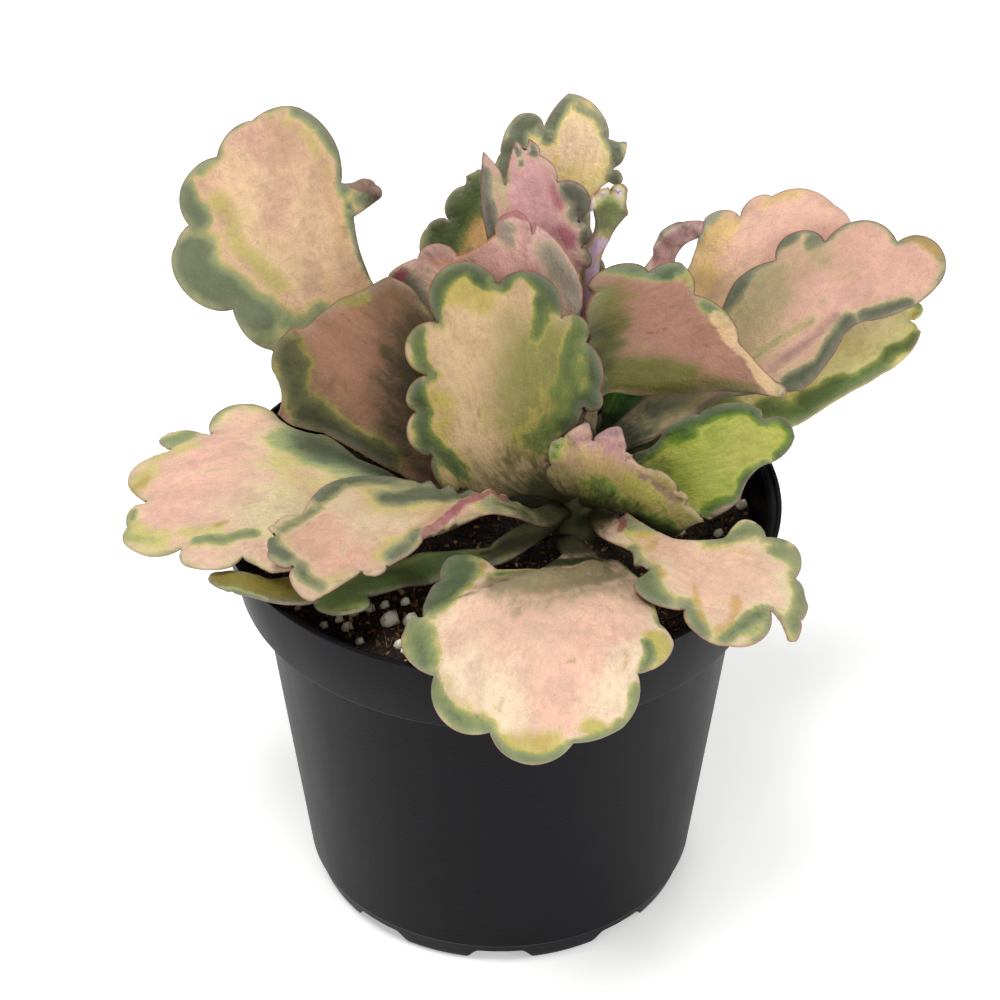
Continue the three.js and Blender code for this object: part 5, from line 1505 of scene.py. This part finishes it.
            "deep": "#38512b", "edge": "#97927a", "under": "#66784a",
        },
        "strokes": [("green", 1, 2, (12, 0), (18, 0))],
    },
    "right_inner": {
        "palette": {
            "body": "#78c04b", "pink": "#8bd75a", "cream": "#a1df62", "lime": "#a1dc52", "green": "#73b751",
            "deep": "#447336", "edge": "#97a668", "under": "#649147",
        },
        "strokes": [("green", 1.2, 3, (8, 0), (14, 0))],
    },
}

lowLeaf = {
    "palette": {
        "body": "#7f8a58", "pink": "#a5916a", "cream": "#b5a56c", "lime": "#97954c", "green": "#5c7345",
        "deep": "#405538", "edge": "#9a836c", "under": "#7b7f57",
    },
    "band": 2.2,
    "bandStrength": 1.1,
}
leafPaint.update({name: lowLeaf for name in ("hidden_back", "hidden_right", "hidden_left")})

leafBuild = {  # lengths in mm
    "stalkThickness": 2.6,
    "bladeThickness": 1.3,
    "marginThickness": 0.9,
    "marginWidth": 4,
    "stalkLength": 10,
    "stalkShare": 0.35,
    "bladeFrom": 8,  # along the midrib, where waves and green margins start
    "foldLength": 1.5,
    "foldSteps": 10,
    "curveSteps": 80,
    "softening": (-0.06, -0.03, 0, 0.03, 0.06),
    "arcStep": 0.7,
    "closest": 0.25,  # least distance between points of the outline
    "grid": 1.15,
    "gridClear": 0.55,  # of the grid, from the innermost ring to the first grid point
    "insets": (0.3, 0.75, 1.3),
    "insetClear": 0.92,  # of an inset, least distance from the outline
    "roundness": 1.1,
    "rootDepth": 1.2,
    "waves": (("flat", 0.8, 15, 0), ("flat", 0.28, 6, 20), ("fan", 0.16, 2.2, 60)),  # map, height, size, seed
    "crestHeight": 0.9,
    "crimpHeight": 0.5,
    "veinDepth": 0.3,
    "veinWidth": 1.4,
}


def arcPoints(a, via, b):  # points of an arc from `a` through `via` to `b`, without `a`, and how far along
    steps = max(3, math.ceil((math.dist(a, via) + math.dist(via, b)) / leafBuild["arcStep"]))
    twist = 2 * (a[0] * (via[1] - b[1]) + via[0] * (b[1] - a[1]) + b[0] * (a[1] - via[1]))
    shares = [i / steps for i in range(1, steps + 1)]
    if abs(twist) < 1e-3 * max(math.dist(a, b), 1) ** 2:
        return [((1 - t) * a[0] + t * b[0], (1 - t) * a[1] + t * b[1], t) for t in shares]
    aa, vv, bb = (p[0] ** 2 + p[1] ** 2 for p in (a, via, b))
    x = (aa * (via[1] - b[1]) + vv * (b[1] - a[1]) + bb * (a[1] - via[1])) / twist
    y = (aa * (b[0] - via[0]) + vv * (a[0] - b[0]) + bb * (via[0] - a[0])) / twist
    start, middle, end = (math.atan2(p[1] - y, p[0] - x) for p in (a, via, b))
    ahead = (end - start) % (2 * math.pi)
    sweep = ahead if (middle - start) % (2 * math.pi) <= ahead else ahead - 2 * math.pi
    radius = math.dist(a, (x, y))
    turns = [(start + sweep * t, t) for t in shares]
    return [(x + radius * math.cos(turn), y + radius * math.sin(turn), t) for turn, t in turns]


def leafOutline(shape):  # the closed outline laid flat: along the midrib, out to the right, how near a crest
    def side(margin):
        corners = [*margin, (shape["length"], 0)]
        points = [(-leafBuild["rootDepth"], margin[0][1], 0.0), (*corners[0], 0.0)]
        for i in range(0, len(corners) - 2, 2):
            points += arcPoints(corners[i], corners[i + 1], corners[i + 2])
        return points

    outline = []
    for x, y, share in side(shape["right"]) + side(shape["left"])[:-1][::-1]:
        if not outline or math.dist((x, y), outline[-1][:2]) > leafBuild["closest"]:
            outline.append((x, y, math.sin(math.pi * share)))
    return np.array(outline)


def curveOf(spine):  # a Catmull-Rom curve as dense points with their arc lengths
    steps = leafBuild["curveSteps"]
    p = np.array(spine, float)
    p = np.vstack([2 * p[0] - p[1], p, 2 * p[-1] - p[-2]])
    points = []
    for a, b, c, d in zip(p, p[1:], p[2:], p[3:]):
        t = np.linspace(0, 1, steps, endpoint=False)[:, None]
        m, n = (c - a) / 2, (d - b) / 2
        points.append(b + m * t + (-3 * b + 3 * c - 2 * m - n) * t**2 + (2 * b - 2 * c + m + n) * t**3)
    points = np.vstack([*points, p[-2:-1]])
    return points, np.r_[0, np.cumsum(np.linalg.norm(np.diff(points, axis=0), axis=1))]


def unit(vectors):
    return vectors / np.linalg.norm(vectors, axis=1, keepdims=True)


def surfaceOf(shape):  # the leaf's middle surface: from flat coordinates to points in space
    points, lengths = curveOf(shape["spine"])
    tangents = unit(np.gradient(points, lengths, axis=0))
    total = lengths[-1]

    def evenly(values, t):  # a list spread over 0 to 1, its bends softened
        places = np.linspace(0, 1, len(values))
        shifts = leafBuild["softening"]
        return sum(np.interp(t + shift, places, values) for shift in shifts) / len(shifts)

    def surface(s, w):
        at = np.clip(s, 0, total)
        t = at / total
        centre = np.stack([np.interp(at, lengths, points[:, k]) for k in range(3)], 1)
        tangent = unit(np.stack([np.interp(at, lengths, tangents[:, k]) for k in range(3)], 1))
        across = shape["across"] if len(shape["across"]) > 1 else shape["across"] * 2
        out = np.stack([evenly([d[k] for d in across], t) for k in range(3)], 1)
        out = unit(out - (out * tangent).sum(1, keepdims=True) * tangent)
        normal = np.cross(out, tangent)
        rise = np.radians(np.where(w < 0, evenly(shape["riseLeft"], t), evenly(shape["riseRight"], t)))
        step = np.abs(w) / leafBuild["foldSteps"]
        reach = np.zeros_like(w)
        lift = np.zeros_like(w)
        for i in range(leafBuild["foldSteps"]):  # the two halves rise softly from the midrib
            m = (i + 0.5) * step
            tilt = rise * m / (m + leafBuild["foldLength"])
            reach += np.cos(tilt) * step
            lift += np.sin(tilt) * step
        ahead = tangent * (s - at)[:, None]  # before the start and past the end it runs on straight
        return centre + ahead + out * (np.sign(w) * reach)[:, None] + normal * lift[:, None]

    return surface


def nearestOnOutline(points, outline):  # distance from the outline, and which of its sides is the nearest
    a = outline[:, :2]
    ab = np.roll(a, -1, axis=0) - a
    length = (ab**2).sum(1)
    best = np.zeros(len(points))
    index = np.zeros(len(points), int)
    batch = 1500  # points at a time, to spare memory
    for first in range(0, len(points), batch):
        p = points[first : first + batch, None, :] - a[None]
        t = np.clip((p * ab).sum(2) / length, 0, 1)
        d = np.linalg.norm(p - t[..., None] * ab, axis=2)
        index[first : first + batch] = d.argmin(1)
        best[first : first + batch] = d.min(1)
    return best, index


def insideOutline(points, outline):  # a line from an inner point crosses the outline an odd number of times
    inside = np.zeros(len(points), bool)
    a = outline[:, :2]
    for (x0, y0), (x1, y1) in zip(a, np.roll(a, -1, axis=0)):
        if y0 == y1:
            continue
        crosses = (points[:, 1] < y0) != (points[:, 1] < y1)
        x = x0 + (points[:, 1] - y0) * (x1 - x0) / (y1 - y0)
        inside ^= crosses & (points[:, 0] < x)
    return inside


def fillLeaf(outline):  # flat points and triangles of a leaf: rings inside the edge, then an even grid
    b = leafBuild
    flat = outline[:, :2]
    edge = np.roll(flat, -1, axis=0) - np.roll(flat, 1, axis=0)
    normal = unit(np.stack([-edge[:, 1], edge[:, 0]], 1))
    extra = []
    for inset in b["insets"]:
        ring = flat + normal * inset
        if not insideOutline(ring[len(ring) // 3 : len(ring) // 3 + 1], outline)[0]:
            ring = flat - normal * inset
        extra.append(ring[nearestOnOutline(ring, outline)[0] > b["insetClear"] * inset])
    grid = b["grid"]
    low, high = flat.min(0), flat.max(0)
    rows = np.arange(low[1], high[1], grid * math.sqrt(3) / 2)
    columns = np.arange(low[0], high[0], grid)
    hexes = np.array([(x + (i % 2) * grid / 2, y) for i, y in enumerate(rows) for x in columns])
    far = nearestOnOutline(hexes, outline)[0] > b["insets"][-1] + b["gridClear"] * grid
    extra.append(hexes[far])
    extra = np.vstack(extra)
    extra = extra[insideOutline(extra, outline)]
    points = [Vector(p) for p in np.vstack([flat, extra])]
    points, _, faces, *_ = delaunay_2d_cdt(points, [], [list(range(len(flat)))], 1, 1e-5)
    return np.array([tuple(p) for p in points]), [tuple(f) for f in faces if len(f) == 3]


def wobble(points, size, seed):  # smooth noise between -1 and 1 over flat points, in lumps of `size` mm
    return np.array([noise.noise(Vector((x / size, y / size, seed))) for x, y in points])


paintKinds = ("green", "lime", "cream", "pink", "olive", "ochre", "rose", "dark")

plainPaint = {  # what a leaf has where its own paint says nothing; lengths in mm
    "palette": {},
    "band": 2,  # how far the green margin reaches in
    "bandStrength": 1,
    # how far the olive near the stalk reaches: partly the stalk's own olive, partly painted shade under the
    # crown
    "oliveTo": 16,  # along the midrib from the stalk
    # how far the dark near the stalk reaches: partly the stalk's own darker green, partly painted shade under
    # the crown
    "darkTo": 18,
    "strokes": [],  # what, how strong, how wide, and its line; "lift" raises the surface
    "ruffles": [],  # side, start, end, height and pitch of a waved margin
}


def falloff(distance, reach):  # one on a line, half at its reach, then soon nothing
    return np.exp(-0.7 * (distance / reach) ** 2)


def strokeDistance(points, line):  # distance in mm of flat points from a line through flat points
    line = np.array(line, float)
    if len(line) == 1:
        return np.linalg.norm(points - line[0], axis=1)
    nearest = np.full(len(points), 1e9)
    for a, b in zip(line, line[1:]):
        t = np.clip(((points - a) @ (b - a)) / ((b - a) @ (b - a)), 0, 1)
        nearest = np.minimum(nearest, np.linalg.norm(points - a - t[:, None] * (b - a), axis=1))
    return nearest


def paintFields(points, marginDistance, paint, seed):  # how strongly each paint covers each flat point
    s = points[:, 0]
    # strokes wander by about a millimetre, and the green margin is wide here and narrow there
    drift = 0.9 * np.stack([wobble(points, 5, seed + 0.3), wobble(points, 5, seed + 5.3)], 1)
    drift += 0.35 * np.stack([wobble(points, 1.8, seed + 2.3), wobble(points, 1.8, seed + 7.3)], 1)
    fields = {kind: np.zeros_like(s) for kind in paintKinds}
    band = paint["band"] * (1 + 0.55 * wobble(points, 8, seed + 0.3))
    broken = np.clip(0.85 + 1.1 * wobble(points, 6, seed + 11.3), 0.1, 1.5)
    onBlade = np.clip((s - leafBuild["bladeFrom"]) / 6, 0, 1)
    fields["green"] = paint["bandStrength"] * broken * falloff(marginDistance, band) * onBlade
    # olive and dark near the stalk: partly the stalk's own colour, partly painted shade under the crown
    fields["olive"] = 1.1 * np.clip(1 - s / paint["oliveTo"], 0, 1)
    fields["dark"] = 1.3 * np.clip(1 - s / paint["darkTo"], 0, 1)
    for kind, strength, reach, *line in paint["strokes"]:
        if kind != "lift":
            away = strokeDistance(points + drift * min(1, reach / 2), line)
            fields[kind] = np.maximum(fields[kind], strength * falloff(away, reach))
    return fields


defaultPalette = {  # what a leaf's own palette leaves out
    "body": "#dcb09a",
    "pink": "#e0a898",
    "cream": "#e6cda6",
    "lime": "#b9b25c",
    "green": "#74875a",
    "deep": "#4c6048",  # where the green is strongest
    "olive": "#7d8450",
    "ochre": "#b5884e",
    "rose": "#a05a5e",
    # painted shade near the crown, in creases and under folds; partly the stalk's own darker green
    "dark": "#2a2c16",
    "edge": "#a98676",
    "under": "#bd9887",
    "scar": "#8d5a42",
    "bloom": "#a9a091",  # the frosty wax near the margin
}

skinGrain = {  # noise: the map it lies on, its size in mm, detail, roughness, and its darkest and lightest tone
    "haze": ("flat", 13, 5, 0.6, 0.91, 1.07),
    "cloud": ("flat", 5, 8, 0.7, 0.9, 1.09),
    "streak": ("fan", 2, 6, 0.65, 0.88, 1.1),
    "spot": ("flat", 1.3, 5, 0.7, 0.92, 1.07),
    "fibre": ("fan", 0.7, 5, 0.6, 0.92, 1.07),
    "fleck": ("flat", 0.3, 4, 0.6, 0.88, 1.09),
}

skinStains = [  # colour, the noise or paint that lays it on, where that starts, where it is full, most cover
    ("pink", "haze", 0.38, 0.66, 0.4),
    ("cream", "streak", 0.48, 0.7, 0.3),
    ("olive", "cloud", 0.5, 0.8, 0.16),
    ("pink", "pink", 0.55, 1.35, 0.9),
    ("cream", "cream", 0.6, 1.35, 0.85),
    ("cream", "green", 0.42, 0.8, 0.5),
    ("olive", "olive", 0.6, 1.4, 0.95),
    ("lime", "lime", 0.65, 1.3, 0.85),
    ("lime", "fringe", 0.72, 1.02, 0.75),
    ("green", "green", 0.82, 1.24, 1),
    ("deep", "green", 1.15, 1.75, 0.85),
    ("ochre", "ochre", 0.8, 1.4, 0.75),
    ("rose", "rose", 0.75, 1.3, 0.85),
]


def leafSkin(name, palette):
    # waxy succulent skin: matt with a broad soft shine, stained cream, lime and green, with torn soft borders
    material, tree = newMaterial(name)
    strength = 0.9  # the studio light on a leaf that faces it is a little over one
    colours = {key: linear(value) for key, value in {**defaultPalette, **palette}.items()}
    colours = {key: (*[channel * strength for channel in colour[:3]], 1) for key, colour in colours.items()}
    maps = {label: addNode(tree, "ShaderNodeUVMap", uv_map=label) for label in ("flat", "fan")}
    layers = []
    for label in ("paintA", "paintB", "paintC"):
        layer = addNode(tree, "ShaderNodeAttribute", attribute_name=label)
        parts = addNode(tree, "ShaderNodeSeparateColor", {0: layer}).node.outputs
        layers += [*parts[:3], layer.node.outputs["Alpha"]]
    painted = dict(zip((*paintKinds, "margin", "side"), layers))
    field = {}
    for key, (where, size, detail, roughness, _, _) in skinGrain.items():
        inputs = {"Vector": maps[where], "Scale": 1 / (size * mm), "Detail": detail, "Roughness": roughness}
        field[key] = addNode(tree, "ShaderNodeTexNoise", inputs)
    torn = -0.7  # what the noises below make of it averages a half
    for key, share in (("cloud", 1.0), ("streak", 1.0), ("spot", 0.4)):
        torn = addNode(tree, "ShaderNodeMath", {0: field[key], 1: share, 2: torn}, operation="MULTIPLY_ADD")
    for kind in paintKinds[1:]:  # every paint gets torn, streaked borders
        field[kind] = addNode(tree, "ShaderNodeMath", {0: torn, 1: painted[kind]}, operation="ADD")
    green = addNode(tree, "ShaderNodeMath", {0: painted["green"], 1: 1.15, 2: torn}, operation="MULTIPLY_ADD")
    # a little less of it, so that none shows where none is painted
    green = field["green"] = addNode(tree, "ShaderNodeMath", {0: green, 1: 0.12}, operation="SUBTRACT")
    fringe = addNode(tree, "ShaderNodeMath", {0: field["haze"], 1: 1.1, 2: -0.55}, operation="MULTIPLY_ADD")
    fringe = addNode(tree, "ShaderNodeMath", {0: green, 1: fringe}, operation="ADD")  # wide here, missing there
    field["fringe"] = fringe

    colour = colours["body"]
    for key, source, low, high, most in skinStains:
        colour = lay(tree, colour, colours[key], field[source], low, high, most)
    haze, cloud, streak, margin = field["haze"], field["cloud"], field["streak"], painted["margin"]
    # fine scars: the edges of bent cells, kept in a few patches only
    bend = {0: 0.0025, 4: maps["flat"], 5: cloud.node.outputs["Color"]}
    bent = addNode(tree, "ShaderNodeMix", bend, 1, data_type="VECTOR")
    cells = {"Vector": bent, "Scale": 1 / (4.5 * mm)}
    cells = addNode(tree, "ShaderNodeTexVoronoi", cells, feature="DISTANCE_TO_EDGE")
    thin = addNode(tree, "ShaderNodeMapRange", {"Value": cells, 1: 0.0, 2: 0.035, 3: 1, 4: 0})
    patch = addNode(tree, "ShaderNodeMapRange", {"Value": haze, 1: 0.52, 2: 0.62, 3: 0, 4: 0.2})
    scars = addNode(tree, "ShaderNodeMath", {0: thin, 1: patch}, operation="MULTIPLY")
    # a frosty bloom near the margin, the thin coloured edge itself, and a plainer underside
    bloom = addNode(tree, "ShaderNodeMapRange", {"Value": margin, 1: 0.02, 2: 0.2, 3: 0.5, 4: 0})
    bloom = addNode(tree, "ShaderNodeMath", {0: bloom, 1: cloud}, operation="MULTIPLY")
    rimWidth = addNode(tree, "ShaderNodeMapRange", {"Value": streak, 1: 0.35, 2: 0.65, 3: 0.012, 4: 0.06})
    edge = addNode(tree, "ShaderNodeMapRange", {"Value": margin, 1: 0.005, 2: rimWidth, 3: 0.75, 4: 0})
    below = addNode(tree, "ShaderNodeMapRange", {"Value": painted["side"], 1: 0.3, 2: 0.5, 3: 0.5, 4: 0})
    for key, cover in (("scar", scars), ("bloom", bloom), ("edge", edge), ("under", below)):
        colour = addNode(tree, "ShaderNodeMix", {0: cover, 6: colour, 7: colours[key]}, 2, data_type="RGBA")
    # painted shade near the crown, in creases and under folds, over both skins
    colour = lay(tree, colour, colours["dark"], field["dark"], 0.55, 1.5, 0.92)
    for key, (*_, darkest, lightest) in skinGrain.items():
        tone = {"Value": field[key], 1: 0.3, 2: 0.7, 3: darkest, 4: lightest}
        tone = {0: 1, 6: colour, 7: addNode(tree, "ShaderNodeMapRange", tone)}
        colour = addNode(tree, "ShaderNodeMix", tone, 2, data_type="RGBA", blend_type="MULTIPLY")
    rough = addNode(tree, "ShaderNodeMapRange", {"Value": cloud, 1: 0.3, 2: 0.7, 3: 0.42, 4: 0.58})
    bumps = {}
    for key, depth in (("streak", 0.4), ("spot", 0.35), ("fleck", 0.06)):  # in mm
        bumps.update({"Height": field[key], "Distance": depth * mm})
        bumps["Normal"] = addNode(tree, "ShaderNodeBump", bumps)
    finishShader(tree, {
        "Base Color": colour,
        "Roughness": rough,
        "Specular IOR Level": 0.3,
        "Subsurface Weight": 0.1,
        "Subsurface Radius": (0.003, 0.0018, 0.001),
        "Normal": bumps["Normal"],
    })
    return material


def halfThickness(shape, s, distance):  # from the middle surface to either skin
    b = leafBuild
    share = np.clip(s / (b["stalkShare"] * shape["length"]), 0, 1)
    body = share * share * (3 - 2 * share)
    thickness = b["stalkThickness"] + body * (b["bladeThickness"] - b["stalkThickness"])
    inner = np.maximum(np.clip(distance / b["marginWidth"], 0, 1), np.clip(1 - s / b["stalkLength"], 0, 1))
    half = (b["marginThickness"] + inner * (thickness - b["marginThickness"])) / 2
    return half * np.sqrt(1 - (1 - np.clip(distance / b["roundness"], 0, 1)) ** 2)


def leafRelief(shape, paint, maps, distance, crest, seed):  # swellings, teeth, vein, folds and ruffles
    b = leafBuild
    flat = maps["flat"]
    s, w = flat[:, 0], flat[:, 1]
    relief = sum(height * wobble(maps[where], size, seed + shift) for where, height, size, shift in b["waves"])
    relief += b["crestHeight"] * (crest - 0.6) * np.exp(-distance / 3)
    relief += b["crimpHeight"] * wobble(flat, 5, seed + 40) * np.exp(-distance / 2)
    alongVein = np.clip(1 - s / shape["length"] / 0.85, 0, 1)
    relief -= b["veinDepth"] * np.exp(-((w / b["veinWidth"]) ** 2)) * alongVein
    for kind, strength, reach, *line in paint["strokes"]:
        if kind == "lift":
            relief += strength * falloff(strokeDistance(flat, line), reach)
    for side, start, end, height, pitch in paint["ruffles"]:
        here = (w * side > 0) * np.clip((s - start) / 2, 0, 1) * np.clip((end - s) / 2, 0, 1)
        relief += here * height * np.sin(2 * math.pi * s / pitch) * np.exp(-distance / 1.8)
    return relief * np.clip((s - b["bladeFrom"]) / 12, 0, 1)


def paintMesh(mesh, columns, maps, source):  # ten values per point in three colour layers, and both maps
    values = np.hstack([np.stack(columns, 1), np.zeros((len(source), 2))])
    for i, label in enumerate(("paintA", "paintB", "paintC")):
        layer = mesh.attributes.new(label, "FLOAT_COLOR", "POINT")
        layer.data.foreach_set("color", values[:, 4 * i : 4 * i + 4].astype(np.float32).ravel())
    corners = np.zeros(len(mesh.loops), int)
    mesh.loops.foreach_get("vertex_index", corners)
    for label, laid in maps.items():
        uv = mesh.uv_layers.new(name=label)
        uv.data.foreach_set("uv", (laid[source[corners]] * mm).astype(np.float32).ravel())


def makeLeaf(name, shape, number):
    paint = {**plainPaint, **leafPaint[name]}
    outline = leafOutline(shape)
    flat, triangles = fillLeaf(outline)
    s, w = flat[:, 0], flat[:, 1]
    fan = np.stack([0.3 * np.hypot(s + 4, w), 30 * np.arctan2(w, s + 4)], 1)  # spreads from behind the stalk
    maps = {"flat": flat, "fan": fan}
    distance, nearest = nearestOnOutline(flat, outline)
    surface = surfaceOf(shape)
    probe = 0.2  # mm to either side, to find which way the surface faces
    outwards = surface(s, w + probe) - surface(s, w - probe)
    forwards = surface(s + probe, w) - surface(s - probe, w)
    normal = unit(np.cross(outwards, forwards))
    relief = leafRelief(shape, paint, maps, distance, outline[nearest, 2], number)
    middle = surface(s, w) + normal * relief[:, None]
    half = halfThickness(shape, s, distance)[:, None]
    top, bottom = middle + normal * half, middle - normal * half

    edges = {}
    for face in triangles:
        for i in range(3):
            key = frozenset((face[i], face[(i + 1) % 3]))
            edges[key] = edges.get(key, 0) + 1
    rim = sorted({i for key, count in edges.items() if count == 1 for i in key})  # both skins share it
    top[rim] = middle[rim]
    n = len(flat)
    keep = np.setdiff1d(np.arange(n), rim)
    under = np.arange(n)
    under[keep] = n + np.arange(len(keep))
    points = np.vstack([top, bottom[keep]]) * mm
    faces = [(p, r, q) for p, q, r in triangles]
    faces += [(int(under[p]), int(under[q]), int(under[r])) for p, q, r in triangles]
    piece = newPiece("blade_" + name, points, faces, leafSkin("leafSkin_" + name, paint["palette"]))

    source = np.r_[np.arange(n), keep]
    fields = paintFields(flat, distance, paint, number)
    side = np.r_[np.ones(n), np.zeros(len(keep))]  # one on top, nought below
    side[rim] = 0.5
    columns = [fields[kind][source] for kind in paintKinds]
    columns += [np.clip(distance / 10, 0, 1)[source], side]  # how far in from the margin, in cm, and which side
    paintMesh(piece.data, columns, maps, source)
    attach(piece, "root")
    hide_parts("leaf_" + name)
    return len(faces)


def makeLeaves():
    total = 0
    for number, (name, shape) in enumerate(leafShapes.items()):
        total += makeLeaf(name, shape, number)
    print("leaves:", len(leafShapes), "with", total, "faces")


makeStage()
makePot()
makeMix()
makeStems()
makeLeaves()
